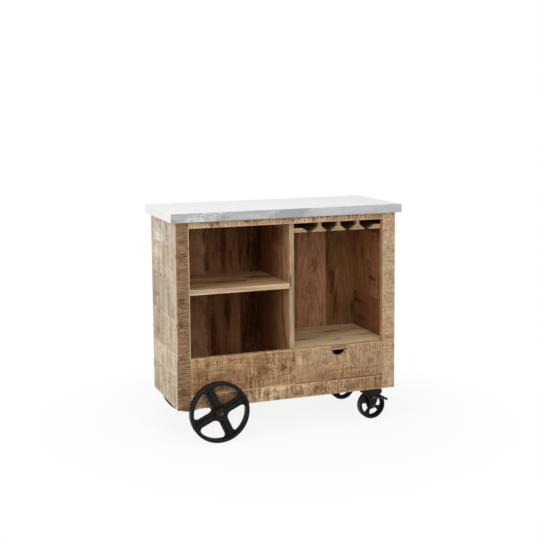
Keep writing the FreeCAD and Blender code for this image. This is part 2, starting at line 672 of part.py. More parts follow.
def spoked_wheel(side_name, side):
    """Cast wheel: rim, flat web cut into four spokes, a rib along each spoke, and a hub."""
    wheel = body(f"large_wheel_{side_name}_body")
    tread = "size.wheel_diameter / 2"
    rim_in = f"({tread} - size.wheel_rim)"
    half = "size.wheel_width / 2"
    web = "size.wheel_web / 2"
    bevel = "size.wheel_rim_bevel"
    hub = "size.hub_diameter / 2"
    hub_end = f"({hub} - size.hub_draft)"
    long = "size.hub_length / 2"
    bore = "(size.journal_diameter / 2 + size.running_clearance)"
    recess = "size.hub_recess_diameter / 2"
    recess_floor = f"({long} - size.hub_recess_depth)"
    section = sketch_on(wheel, "XZ_Plane", "wheel_section")
    outline(section, [
        (bore, f"-{long}"), (hub_end, f"-{long}"), (hub, f"-{web}"), (rim_in, f"-{web}"),
        (f"{rim_in} + {bevel} / 2", f"-{half}"), (f"{tread} - {bevel}", f"-{half}"),
        (tread, f"-({half} - {bevel})"), (tread, f"{half} - {bevel}"),
        (f"{tread} - {bevel}", half), (f"{rim_in} + {bevel} / 2", half),
        (rim_in, web), (hub, web), (hub_end, long), (recess, long),
        (recess, recess_floor), (bore, recess_floor)])
    revolve(wheel, section, "wheel_turned")

    window = sketch_on(wheel, "XY_Plane", "wheel_window")
    edge = "(size.spoke_width / 2)"
    near = "size.spoke_inner_fillet"
    far = "size.spoke_outer_fillet"
    # The outer round touches the spoke's side and the rim: its middle is at (middle, edge + far).
    middle = f"sqrt(({rim_in} - {far}) ^ 2 - ({edge} + {far}) ^ 2)"
    stretch = f"({rim_in} / ({rim_in} - {far}))"
    outline(window, [
        (f"{edge} + {near}", edge, near), (middle, edge),
        (f"{middle} * {stretch}", f"({edge} + {far}) * {stretch}", far),
        (f"({edge} + {far}) * {stretch}", f"{middle} * {stretch}", rim_in),
        (edge, middle, far), (edge, f"{edge} + {near}")])
    hole = pocket_through(wheel, window, "wheel_window_cut")
    polar(wheel, [hole], "wheel_windows", SPOKES)

    rib_top = f"({web} + size.spoke_rib_height)"
    root = "size.spoke_rib_width / 2"
    crest = "size.spoke_rib_crest / 2"
    rib_start = f"({hub_end} - size.hub_draft)"
    rib_section = sketch_on(wheel, "YZ_Plane", "rib_section", rib_start)
    outline(rib_section, [(f"-{crest}", f"-{rib_top}"), (crest, f"-{rib_top}"), (root, "0"),
                          (crest, rib_top), (f"-{crest}", rib_top), (f"-{root}", "0")])
    rib = pad(wheel, rib_section, "rib", f"{rim_in} + {bevel} / 2 - {rib_start}")
    polar(wheel, [rib], "ribs", SPOKES)
    spin = FreeCAD.Rotation(V(0, 0, 1), -side * number("size.wheel_turn"))
    place(wheel, AXLE_X, f"({side} * {WHEEL_Y})", AXLE_Z, outward(side).multiply(spin))
    keep(wheel, f"large_wheel_{side_name}")


def axle():
    """A fixed rod with turned-down ends, its two brackets, washers and nuts."""
    bar = body("wheel_axle_body")
    recess_floor = f"({WHEEL_Y} + size.hub_length / 2 - size.hub_recess_depth)"
    shoulder = f"({WHEEL_Y} - size.hub_length / 2 - size.end_play)"
    end = f"({recess_floor} + size.journal_end)"
    section = sketch_on(bar, "XZ_Plane", "axle_section")
    thick = "size.axle_diameter / 2"
    thin = "size.journal_diameter / 2"
    outline(section, [("0", f"-{end}"), (thin, f"-{end}"), (thin, f"-{shoulder}"), (thick, f"-{shoulder}"),
                      (thick, shoulder), (thin, shoulder), (thin, end), ("0", end)])
    revolve(bar, section, "axle_turned")
    place(bar, AXLE_X, "0", AXLE_Z, outward(-1))
    keep(bar, "wheel_axle")

    washer_seat = f"({recess_floor} + size.end_play)"
    rings = []
    for name, side in SIDES.items():
        for part, seat, thickness in (("washer", washer_seat, "size.washer_thickness"),
                                      ("nut", f"({washer_seat} + size.washer_thickness)", "size.nut_height")):
            turn = outward(side)
            if part == "washer":
                blank = cylinder(f"{part}_{name}_blank", "size.washer_diameter / 2", thickness,
                                 AXLE_X, f"({side} * {seat})", AXLE_Z, turn)
            else:
                blank = doc.addObject("Part::Prism", f"{part}_{name}_blank")
                blank.Polygon = 6
                blank.setExpression("Circumradius", "size.nut_width / 2")
                blank.setExpression("Height", thickness)
                place(blank, AXLE_X, f"({side} * {seat})", AXLE_Z, turn)
            bore = cylinder(f"{part}_{name}_bore", "size.journal_diameter / 2 + size.running_clearance",
                            thickness, AXLE_X, f"({side} * {seat})", AXLE_Z, turn)
            rings.append(cut(f"{part}_{name}", blank, bore))
    keep(group("axle_fasteners", rings), "axle_nuts_and_washers")


def axle_bracket(name, side):
    """Cast bracket under the cabinet: two screwed ears and a round boss for the axle."""
    bracket = body(f"axle_bracket_{name}_body")
    wide = "size.bracket_width / 2"
    boss = "size.bracket_boss_radius"
    top = "size.axle_drop"
    ear = f"({top} - size.bracket_flange)"
    section = sketch_on(bracket, "XZ_Plane", "bracket_section")
    outline(section, [(f"-{wide}", ear), (f"-{boss}", ear), (f"-{boss}", "0"),
                      ("0", f"-{boss}", boss), (boss, "0", boss),
                      (boss, ear), (wide, ear), (wide, top), (f"-{wide}", top)])
    pad(bracket, section, "bracket_block", "size.bracket_length", symmetric=True)
    hole = sketch_on(bracket, "XZ_Plane", "bracket_hole")
    circle_on(hole, "0", "0", "size.axle_diameter / 2 + size.running_clearance")
    pocket_through(bracket, hole, "bracket_bore")
    screw = sketch_on(bracket, "XY_Plane", "bracket_screw_holes")
    for turn in (-1, 1):
        circle_on(screw, f"{turn} * ({wide} - size.bracket_hole_inset)", "0",
                  "size.screw_diameter / 2 + size.screw_hole_play")
    pocket_through(bracket, screw, "bracket_screw_cuts")
    place(bracket, AXLE_X, f"({side} * (size.carcass_depth / 2 - size.bracket_inset))", AXLE_Z)
    keep(bracket, f"axle_bracket_{name}")


# ---------------------------------------------------------------- casters

def caster_plate(name, side):
    """Screwed plate with its ball race and the countersunk pin that the fork swivels on."""
    plate = body(f"caster_plate_{name}_body")
    face = sketch_on(plate, "XY_Plane", "plate_face", PLATE_LOW)
    half_x = "size.plate_length / 2"
    half_y = "size.plate_width / 2"
    outline(face, [(f"-{half_x}", f"-{half_y}"), (half_x, f"-{half_y}"),
                   (half_x, half_y), (f"-{half_x}", half_y)])
    blank = pad(plate, face, "plate_blank", "size.plate_thickness")
    fillet(plate, blank, "plate_corners", "size.plate_corner_radius",
           lambda edge: is_parallel(edge, V(0, 0, 1)))
    holes = sketch_on(plate, "XY_Plane", "plate_holes")
    for turn_x in (-1, 1):
        for turn_y in (-1, 1):
            circle_on(holes, f"{turn_x} * size.plate_hole_x", f"{turn_y} * size.plate_hole_y",
                      "size.screw_diameter / 2 + size.screw_hole_play")
    pocket_through(plate, holes, "plate_drilled")
    pin = sketch_on(plate, "XZ_Plane", "kingpin_section")
    race = "size.race_diameter / 2"
    radius = "size.kingpin_diameter / 2"
    head = "size.kingpin_head / 2"
    outline(pin, [("0", CROWN_LOW), (head, CROWN_LOW),
                  (radius, f"({CROWN_LOW} + {head} - {radius})"), (radius, RACE_LOW), (race, RACE_LOW),
                  (race, f"({PLATE_LOW} + size.plate_thickness / 2)"),
                  ("0", f"({PLATE_LOW} + size.plate_thickness / 2)")])
    revolve(plate, pin, "kingpin_turned")
    place(plate, CASTER_X, f"({side} * {CASTER_Y})")
    keep(plate, f"caster_plate_{name}")


def fork_leg(fork, leg_name, turn):
    """One leg: wide shoulders at the crown, a taper to the round end, and a rib along each edge."""
    trail = "size.caster_trail"
    low = CASTER_AXLE_Z
    end = "size.leg_end_radius"
    half_top = "(size.leg_top_width / 2)"
    shoulder = "(size.shoulder_width / 2)"
    shoulder_low = f"({CROWN_LOW} - size.shoulder_drop)"
    leg_high = f"({shoulder_low} - size.shoulder_slope)"
    # A sketch on the XZ plane faces the front, so its offset runs towards -Y.
    inner = f"({LEG_INNER})" if turn < 0 else f"(-{LEG_OUTER})"
    outer = LEG_OUTER if turn < 0 else f"(-{LEG_OUTER} - size.leg_rib_height)"
    leg = sketch_on(fork, "XZ_Plane", f"leg_{leg_name}", inner)
    outline(leg, [(f"{trail} - {half_top}", leg_high), (f"{trail} - {end}", low),
                  (trail, f"{low} - {end}", end), (f"{trail} + {end}", low, end),
                  (f"{trail} + {half_top}", leg_high), (f"{trail} + {shoulder}", shoulder_low),
                  (f"{trail} + {shoulder}", CROWN_TOP), (f"{trail} - {shoulder}", CROWN_TOP),
                  (f"{trail} - {shoulder}", shoulder_low)])
    pad(fork, leg, f"leg_{leg_name}_plate", "size.leg_thickness")
    rib_end = "(size.bolt_head_width / 2 + size.leg_rib_clearance)"
    edge_at_end = f"({end} + ({half_top} - {end}) * {rib_end} / ({leg_high} - {low}))"
    for edge_name, toward in (("left", "-"), ("right", "+")):
        rib = sketch_on(fork, "XZ_Plane", f"rib_{leg_name}_{edge_name}", outer)
        outline(rib, [(f"{trail} {toward} {half_top}", leg_high),
                      (f"{trail} {toward} {edge_at_end}", f"{low} + {rib_end}"),
                      (f"{trail} {toward} ({edge_at_end} - size.leg_rib_width)", f"{low} + {rib_end}"),
                      (f"{trail} {toward} ({half_top} - size.leg_rib_width)", leg_high)])
        pad(fork, rib, f"rib_{leg_name}_{edge_name}_pad", "size.leg_rib_height")


def caster_fork(name, side):
    """Cast fork: a round crown and two legs with shoulders and raised edges."""
    fork = body(f"caster_fork_{name}_body")
    crown = sketch_on(fork, "XY_Plane", "crown_face", CROWN_LOW)
    crown_radius = "size.crown_diameter / 2"
    trail = "size.caster_trail"
    low = CASTER_AXLE_Z
    reach = f"({trail} + size.shoulder_width / 2)"
    outline(crown, [(reach, f"-{LEG_OUTER}"), (reach, LEG_OUTER),
                    ("0", crown_radius), (f"-{crown_radius}", "0", crown_radius),
                    ("0", f"-{crown_radius}", crown_radius)])
    pad(fork, crown, "crown", "size.crown_thickness")
    for leg_name, turn in SIDES.items():
        fork_leg(fork, leg_name, turn)
    bores = sketch_on(fork, "XZ_Plane", "fork_bores")
    circle_on(bores, trail, low, "size.caster_bolt_diameter / 2 + size.bolt_hole_play")
    pocket_through(fork, bores, "fork_axle_bore")
    pivot = sketch_on(fork, "XZ_Plane", "brake_pivot_hole", "0")
    circle_on(pivot, "size.brake_pivot_x", f"{low} + size.brake_pivot_rise",
              "size.brake_pin_diameter / 2 + size.running_clearance")
    pivot_cut = fork.newObject("PartDesign::Pocket", "brake_pivot_cut")
    pivot_cut.Profile = pivot
    pivot_cut.Type = "ThroughAll"
    pivot_cut.Reversed = True
    seat = sketch_on(fork, "XZ_Plane", "kingpin_seat")
    play = "size.running_clearance"
    radius = f"(size.kingpin_diameter / 2 + {play})"
    head = f"(size.kingpin_head / 2 + {play})"
    below = f"({CROWN_LOW} - {CUT_BEYOND})"
    above = f"({CROWN_TOP} + {CUT_BEYOND})"
    outline(seat, [("0", below), (f"{head} + {CUT_BEYOND}", below),
                   (radius, f"({CROWN_LOW} + {head} - {radius})"), (radius, above), ("0", above)])
    groove = fork.newObject("PartDesign::Groove", "kingpin_hole")
    groove.Profile = seat
    groove.ReferenceAxis = (seat, ["V_Axis"])
    groove.Angle = 360
    place(fork, CASTER_X, f"({side} * {CASTER_Y})")
    keep(fork, f"caster_fork_{name}")


def caster_wheel(name, side):
    """Cast wheel with four kidney-shaped holes in its web."""
    wheel = body(f"caster_wheel_{name}_body")
    tread = CASTER_AXLE_Z
    rim_in = f"({tread} - size.caster_rim)"
    half = "size.caster_wheel_width / 2"
    web = "size.caster_web / 2"
    hub = "size.caster_hub_diameter / 2"
    long = "size.caster_hub_length / 2"
    bore = "(size.caster_bolt_diameter / 2 + size.running_clearance)"
    bevel = "size.caster_rim_bevel"
    section = sketch_on(wheel, "XZ_Plane", "caster_wheel_section")
    outline(section, [
        (bore, f"-{long}"), (f"{hub} - {bevel}", f"-{long}"), (hub, f"-{web}"), (rim_in, f"-{web}"),
        (f"{rim_in} + {bevel}", f"-{half}"), (f"{tread} - {bevel}", f"-{half}"),
        (tread, f"-({half} - {bevel})"), (tread, f"{half} - {bevel}"),
        (f"{tread} - {bevel}", half), (f"{rim_in} + {bevel}", half),
        (rim_in, web), (hub, web), (f"{hub} - {bevel}", long), (bore, long)])
    revolve(wheel, section, "caster_wheel_turned")
    kidney = sketch_on(wheel, "XY_Plane", "kidney")
    inner = f"({hub} + size.kidney_margin)"
    outer = f"({rim_in} - size.kidney_margin)"
    sine = "sin(size.kidney_half_angle)"
    cosine = "cos(size.kidney_half_angle)"
    outline(kidney, [(f"{outer} * {cosine}", f"-{outer} * {sine}"),
                     (f"{outer} * {cosine}", f"{outer} * {sine}", outer),
                     (f"{inner} * {cosine}", f"{inner} * {sine}"),
                     (f"{inner} * {cosine}", f"-{inner} * {sine}", f"-{inner}")])
    hole = pocket_through(wheel, kidney, "kidney_cut")
    holes = polar(wheel, [hole], "kidneys", KIDNEYS)
    low = number(inner) - SAME_PLACE
    high = number(outer) + SAME_PLACE
    fillet(wheel, holes, "kidney_rounds", "size.kidney_fillet",
           lambda edge: is_parallel(edge, V(0, 0, 1))
           and low < edge.CenterOfMass.cross(V(0, 0, 1)).Length < high)
    spin = FreeCAD.Rotation(V(0, 0, 1), number("size.caster_wheel_turn"))
    place(wheel, f"({CASTER_X} + size.caster_trail)", f"({side} * {CASTER_Y})", CASTER_AXLE_Z,
          outward(-1).multiply(spin))
    keep(wheel, f"caster_wheel_{name}")


def caster_bolt(name, side):
    """Axle bolt of a caster with its head and nut outside the fork."""
    x = f"({CASTER_X} + size.caster_trail)"
    y = f"({side} * {CASTER_Y})"
    seat = LEG_OUTER
    shank_length = f"(2 * {seat} + 2 * size.bolt_head_height)"
    shank = cylinder(f"caster_bolt_{name}_shank", "size.caster_bolt_diameter / 2", shank_length,
                     x, f"({y} + {seat} + size.bolt_head_height)", CASTER_AXLE_Z, outward(-1))
    ends = [shank]
    for turn, end_name in ((-1, "head"), (1, "nut")):
        prism = doc.addObject("Part::Prism", f"caster_bolt_{name}_{end_name}")
        prism.Polygon = 6
        prism.setExpression("Circumradius", "size.bolt_head_width / 2")
        prism.setExpression("Height", "size.bolt_head_height")
        place(prism, x, f"({y} + {turn} * {seat})", CASTER_AXLE_Z, outward(turn))
        ends.append(prism)
    keep(fuse(f"caster_bolt_{name}_whole", ends), f"caster_bolt_{name}")


def brake_lever(name, side):
    """Lever outside the fork's front leg; its cross bar stands off the tread until it is trodden down."""
    lever = body(f"brake_lever_{name}_body")
    low = CASTER_AXLE_Z
    pivot_x = "size.brake_pivot_x"
    pivot_z = f"({low} + size.brake_pivot_rise)"
    bar_z = f"({low} + size.brake_bar_rise)"
    stand_off = f"({CASTER_AXLE_Z} + size.brake_bar_gap + size.brake_bar_diameter / 2)"
    bar_x = f"(size.caster_trail + sqrt({stand_off} ^ 2 - size.brake_bar_rise ^ 2))"
    face = f"({LEG_OUTER} + size.leg_rib_height + size.end_play)"
    arm_y = f"({face} + size.brake_boss_height / 2)"
    boss = sketch_on(lever, "XZ_Plane", "lever_boss", face)
    circle_on(boss, pivot_x, pivot_z, "size.brake_boss_diameter / 2")
    pad(lever, boss, "lever_boss_pad", "size.brake_boss_height")
    pin = sketch_on(lever, "XZ_Plane", "lever_pin", f"({LEG_INNER} - size.end_play)")
    circle_on(pin, pivot_x, pivot_z, "size.brake_pin_diameter / 2")
    pad(lever, pin, "lever_pin_pad", f"{face} - {LEG_INNER} + size.end_play")
    head = sketch_on(lever, "XZ_Plane", "lever_pin_head", f"({LEG_INNER} - size.end_play)")
    circle_on(head, pivot_x, pivot_z, "size.brake_pin_diameter / 2 + size.brake_pin_head")
    pad(lever, head, "lever_pin_head_pad", "size.brake_pin_head", backwards=True)
    bar = sketch_on(lever, "XZ_Plane", "lever_bar", "(-size.brake_bar_reach)")
    circle_on(bar, bar_x, bar_z, "size.brake_bar_diameter / 2")
    pad(lever, bar, "lever_bar_pad", f"{arm_y} + size.brake_bar_reach")
    knob = lever.newObject("PartDesign::AdditiveSphere", "lever_knob")
    knob.setExpression("Radius", "size.brake_knob_diameter / 2")
    place(knob, bar_x, f"(-{arm_y})", bar_z)
    rod = sketch_on(lever, "YZ_Plane", "lever_rod_section", pivot_x)
    circle_on(rod, f"(-{arm_y})", pivot_z, "size.brake_rod_diameter / 2")
    far = sketch_on(lever, "YZ_Plane", "lever_rod_end", bar_x)
    circle_on(far, f"(-{arm_y})", bar_z, "size.brake_rod_diameter / 2")
    loft = lever.newObject("PartDesign::AdditiveLoft", "lever_rod")
    loft.Profile = rod
    loft.Sections = [far]
    loft.Ruled = True
    place(lever, CASTER_X, f"({side} * {CASTER_Y})")
    keep(lever, f"brake_lever_{name}")


# ---------------------------------------------------------------- the whole trolley

def build():
    end_planks("left", (LEFT, INNER_LEFT))
    end_planks("right", (INNER_RIGHT, RIGHT))
    back_boards()
    face_frame()
    interior()
    bottom()
    worktop()
    glass_rack()
    drawer()
    drawer_runners()
    axle()
    underside_screws()
    for name, side in SIDES.items():
        spoked_wheel(name, side)
        axle_bracket(name, side)
        caster_plate(name, side)
        caster_fork(name, side)
        caster_wheel(name, side)
        caster_bolt(name, side)
        brake_lever(name, side)


def check():
    """Stops with a plain message if anything failed to build."""
    doc.recompute()
    for item in doc.Objects:
        if {"Invalid", "Error"} & set(item.State):
            raise RuntimeError(f"{item.Name} failed: {item.State}")
    for item in nodes:
        if item.Shape.isNull() or not item.Shape.isValid() or not item.Shape.Solids:
            raise RuntimeError(f"{item.Label} has no valid solid")


def write():
    os.makedirs("parts", exist_ok=True)
    for item in nodes:
        item.Shape.exportStep(f"parts/{item.Label}.step")
        print(f"{item.Label}: {len(item.Shape.Solids)} solid(s), {item.Shape.Volume / 1000:.1f} cm3")


build()
check()
write()
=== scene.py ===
import json
import math

import bpy
from mathutils import Matrix, Vector

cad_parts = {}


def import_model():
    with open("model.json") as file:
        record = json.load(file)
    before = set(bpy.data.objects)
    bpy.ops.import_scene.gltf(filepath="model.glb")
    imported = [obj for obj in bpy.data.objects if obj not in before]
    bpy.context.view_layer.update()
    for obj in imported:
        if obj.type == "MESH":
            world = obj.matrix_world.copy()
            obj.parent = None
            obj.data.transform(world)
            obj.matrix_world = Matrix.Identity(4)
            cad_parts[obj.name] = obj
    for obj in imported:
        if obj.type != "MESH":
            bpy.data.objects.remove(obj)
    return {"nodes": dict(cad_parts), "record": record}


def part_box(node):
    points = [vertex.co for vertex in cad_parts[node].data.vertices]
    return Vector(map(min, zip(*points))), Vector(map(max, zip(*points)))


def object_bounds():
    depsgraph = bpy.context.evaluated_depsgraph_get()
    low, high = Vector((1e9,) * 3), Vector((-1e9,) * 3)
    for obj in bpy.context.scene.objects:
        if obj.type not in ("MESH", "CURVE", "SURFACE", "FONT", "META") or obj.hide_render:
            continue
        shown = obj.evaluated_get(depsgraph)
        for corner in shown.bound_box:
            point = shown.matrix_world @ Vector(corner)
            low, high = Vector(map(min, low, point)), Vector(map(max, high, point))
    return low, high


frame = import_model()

# Looks of the cheese trolley: rough-sawn and planed mango wood, a zinc-clad worktop and
# black cast-iron wheels, on a white studio floor. Lengths are metres, in the frame of the CAD.

CAD_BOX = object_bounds()
NODES = frame["nodes"]
SLOT_OF = {part["node"]: part["material_slot"] for part in frame["record"]["subparts"]}

# The photograph's camera, fitted to the corners of the worktop and the cabinet.
IMAGE_SIZE = 540
CAMERA_PLACE = (-1.5109, -4.1155, 1.3678)
CAMERA_YAW = math.radians(20.02)
CAMERA_PITCH = math.radians(6.37)
CAMERA_ROLL = math.radians(-0.476)
FOCAL_LENGTH_PIXELS = 1039.6
SENSOR_WIDTH = 36
SHIFT_UP = -0.1


def srgb(red, green, blue):
    """A colour as a screen shows it, 0 to 255, in the linear values that shaders take."""
    def linear(level):
        share = level / 255
        return share / 12.92 if share <= 0.04045 else ((share + 0.055) / 1.055) ** 2.4
    return (linear(red), linear(green), linear(blue), 1.0)


WHITE = srgb(255, 255, 255)
BORDER_BLUR = 0.001


class Graph:
    """Builds the nodes of a material or world. Most of its methods return an output socket."""

    def __init__(self, owner):
        owner.use_nodes = True
        self.owner = owner
        self.tree = owner.node_tree
        self.tree.nodes.clear()

    def feed(self, socket, value):
        if isinstance(value, bpy.types.NodeSocket):
            self.tree.links.new(value, socket)
        else:
            socket.default_value = value

    def add(self, kind, inputs, output=0, **settings):
        node = self.tree.nodes.new(kind)
        for key, value in settings.items():
            setattr(node, key, value)
        for key, value in inputs.items():
            self.feed(node.inputs[key], value)
        return node.outputs[output]

    def math(self, operation, first, second=0.0):
        return self.add("ShaderNodeMath", {0: first, 1: second}, operation=operation)

    def times(self, first, second):
        return self.math("MULTIPLY", first, second)

    def plus(self, first, second):
        return self.math("ADD", first, second)

    def minus(self, first, second):
        return self.math("SUBTRACT", first, second)

    def length(self, across, up):
        """Length of a step that goes so far across and so far up."""
        return self.math("SQRT", self.plus(self.math("POWER", across, 2.0), self.math("POWER", up, 2.0)))

    def join(self, x, y, z):
        return self.add("ShaderNodeCombineXYZ", {0: x, 1: y, 2: z})

    def split(self, vector):
        node = self.tree.nodes.new("ShaderNodeSeparateXYZ")
        self.feed(node.inputs[0], vector)
        return list(node.outputs)

    def point(self):
        """x, y and z of the shaded point on the piece at rest."""
        return self.split(self.add("ShaderNodeTexCoord", {}, "Object"))

    def noise(self, vector, per_metre, seed, detail=2.0, roughness=0.5):
        """Noise from 0 to 1 with so many waves per metre along each axis."""
        scaled = self.add("ShaderNodeMapping", {"Vector": vector, "Location": (seed, 2 * seed, 3 * seed),
                                                "Scale": per_metre})
        return self.add("ShaderNodeTexNoise",
                        {"Vector": scaled, "Scale": 1.0, "Detail": detail, "Roughness": roughness}, "Fac")

    def step(self, value, start, end):
        """Rises smoothly from 0 at start to 1 at end."""
        return self.add("ShaderNodeMapRange", {"Value": value, "From Min": start, "From Max": end},
                        interpolation_type="SMOOTHSTEP")

    def within(self, value, low, high):
        """1 where the value lies from low to high, in metres, with borders a little blurred."""
        above = self.step(value, low - BORDER_BLUR, low + BORDER_BLUR)
        return self.times(above, self.step(value, high + BORDER_BLUR, high - BORDER_BLUR))

    def between(self, value, low, high):
        """Turns 0 to 1 into low to high."""
        return self.add("ShaderNodeMapRange", {"Value": value, "To Min": low, "To Max": high})

    def mix(self, share, first, second, blend="MIX"):
        return self.add("ShaderNodeMix", {0: share, 6: first, 7: second}, 2,
                        data_type="RGBA", blend_type=blend)

    def bump(self, height, depth):
        return self.add("ShaderNodeBump", {"Height": height, "Distance": depth, "Strength": 1.0})

    def white_seen(self):
        """1 for rays that come from the camera or from a gloss or glass surface."""
        path = self.tree.nodes.new("ShaderNodeLightPath")
        seen = self.math("MAXIMUM", path.outputs["Is Camera Ray"], path.outputs["Is Glossy Ray"])
        return self.math("MAXIMUM", seen, path.outputs["Is Transmission Ray"])

    def end(self, kind, shader):
        """Links the shader to the output node."""
        output = self.tree.nodes.new(kind)
        self.feed(output.inputs["Surface"], shader)
        return self.owner

    def surface(self, inputs):
        """Ends a material in a Principled shader with these inputs."""
        return self.end("ShaderNodeOutputMaterial", self.add("ShaderNodeBsdfPrincipled", inputs))


# ---------------------------------------------------------------- wood

# Tints that a board's colour is multiplied by where a mark darkens or lightens it, or where shade or a
# highlight is painted on it.
STAIN = (0.38, 0.24, 0.17, 1.0)
FADED_STAIN = (0.42, 0.31, 0.25, 1.0)
SHADE = (0.84, 0.72, 0.64, 1.0)
SUNNED = (1.14, 1.18, 1.2, 1.0)
PALE = (1.5, 1.53, 1.6, 1.0)
RAIL_SHADE = (0.3, 0.24, 0.22, 1.0)

# How strongly each mark shows on a surface of each kind. A shape is in waves per metre along, across
# and through the board, and the depth of the relief is in metres.
SAWN = dict(saw=0.75, teeth=0.12, line_shape=(150, 12, 12), mottle=0.9, pale=0.7, bands=0.5,
            blotches=0.5, blotch_shape=(50, 20, 20), streaks=0.1, pale_streaks=0.07, streak_shape=(2, 36, 36),
            stain=STAIN, rings=0.15, wear=0.4, grime=0.4, gloss=0.25, depth=0.0005)
DRAWER_SAWN = dict(SAWN, saw=0.65, teeth=0.25, mottle=0.6, blotches=0.25, rings=0.1)
DARK_SAWN = dict(SAWN, saw=1.0, line_shape=(165, 14, 14), mottle=0.65, pale=0.95, bands=0.3, blotches=0.25,
                 rings=0.0, wear=0.85)
RAIL_SAWN = dict(SAWN, saw=0.95, pale=0.9, bands=0.6, blotches=0.7)
FIXED_SAWN = dict(SAWN, saw=0.78, mottle=0.8, rings=0.25, blotches=0.6)
LIGHT_SAWN = dict(SAWN, saw=0.6, mottle=0.75, bands=0.2, blotches=0.2)
BLEACHED = dict(SAWN, saw=0.3, teeth=0.05, mottle=0.35, pale=0.6, bands=0.9, blotches=0.5,
                blotch_shape=(22, 12, 12), rings=0.12, wear=0.35, grime=0.9)
PLANED = dict(saw=0.0, mottle=0.25, pale=0.2, bands=0.2, blotches=0.5, blotch_shape=(5, 40, 40),
              streaks=0.6, pale_streaks=0.5, streak_shape=(2.5, 62, 62), stain=FADED_STAIN, rings=0.2,
              wear=0.5, grime=0.2, gloss=0.25, depth=0.0003)
INNER = dict(PLANED, blotches=0.8, blotch_shape=(5, 26, 26), streaks=0.35, pale_streaks=0.1,
             streak_shape=(2, 36, 36), stain=STAIN, rings=0.25, wear=0.0, gloss=0.06)
FINISHES = {"front_wood": SAWN, "front_wood_dark": DARK_SAWN, "end_wood": BLEACHED, "inner_wood": INNER}
BOARD_FINISHES = {"front_stile_right": LIGHT_SAWN, "drawer_front": DRAWER_SAWN, "front_top_rail": RAIL_SAWN,
                  "front_bottom_rail": RAIL_SAWN, "front_fixed_board": FIXED_SAWN}

SLOT_TONES = {
    "front_wood": srgb(196, 158, 120), "front_wood_dark": srgb(150, 112, 82), "end_wood": srgb(214, 196, 172),
    "inner_wood": srgb(132, 92, 64), "shelf_wood": srgb(204, 172, 134), "rail_wood": srgb(176, 146, 112),
    "drawer_box_wood": srgb(206, 176, 138), "worktop_core_wood": srgb(206, 176, 138),
}
# Own colours of boards that the photograph shows, but divider_front and divider_middle are the two ends of
# painted shade along the divider's sides, and divider_rear is partly painted shade. All but divider_edge were
# worked out outside this script, so that each board's mean colour in a render comes near its mean colour in
# the photograph.
TONES = {
    "front_stile_left": srgb(133, 105, 76), "front_stile_right": srgb(186, 159, 125),
    "front_top_rail": srgb(186, 163, 132), "front_fixed_board": srgb(163, 131, 94),
    "drawer_front": srgb(171, 141, 107), "front_bottom_rail": srgb(172, 146, 112),
    "back_board_1": srgb(123, 87, 55), "back_board_2": srgb(163, 121, 90), "back_board_4": srgb(88, 56, 33),
    "back_board_5": srgb(111, 75, 49), "back_board_6": srgb(148, 115, 84),
    "left_end_plank_1": srgb(225, 217, 200), "left_end_plank_2": srgb(218, 202, 181),
    "left_end_plank_3": srgb(207, 193, 171), "left_end_plank_4": srgb(216, 199, 172),
    "left_end_plank_5": srgb(226, 212, 187), "left_end_plank_6": srgb(217, 202, 174),
    "right_end_plank_2": srgb(168, 113, 73), "right_end_plank_3": srgb(162, 111, 71),
    "right_end_plank_4": srgb(146, 98, 58), "left_shelf": srgb(204, 168, 121),
    "right_floor_board": srgb(247, 219, 173), "divider_rear": srgb(131, 77, 49),
    "divider_front": srgb(183, 143, 104), "divider_middle": srgb(137, 86, 52),
    "divider_edge": srgb(182, 156, 123),
}
INSIDE_TONE = srgb(136, 88, 56)
# The front edge of each shelf, and how strongly painted shade darkens its top towards the back.
SHELVES = {"left_shelf": (srgb(212, 190, 155), 0.7), "right_floor_board": (srgb(186, 160, 134), 0.4)}
# The tones of each stile's sides, the left side first.
STILE_SIDES = {"front_stile_left": (SLOT_TONES["end_wood"], INSIDE_TONE),
               "front_stile_right": (srgb(179, 136, 103), SLOT_TONES["end_wood"])}
BARE_WOOD = srgb(208, 178, 140)
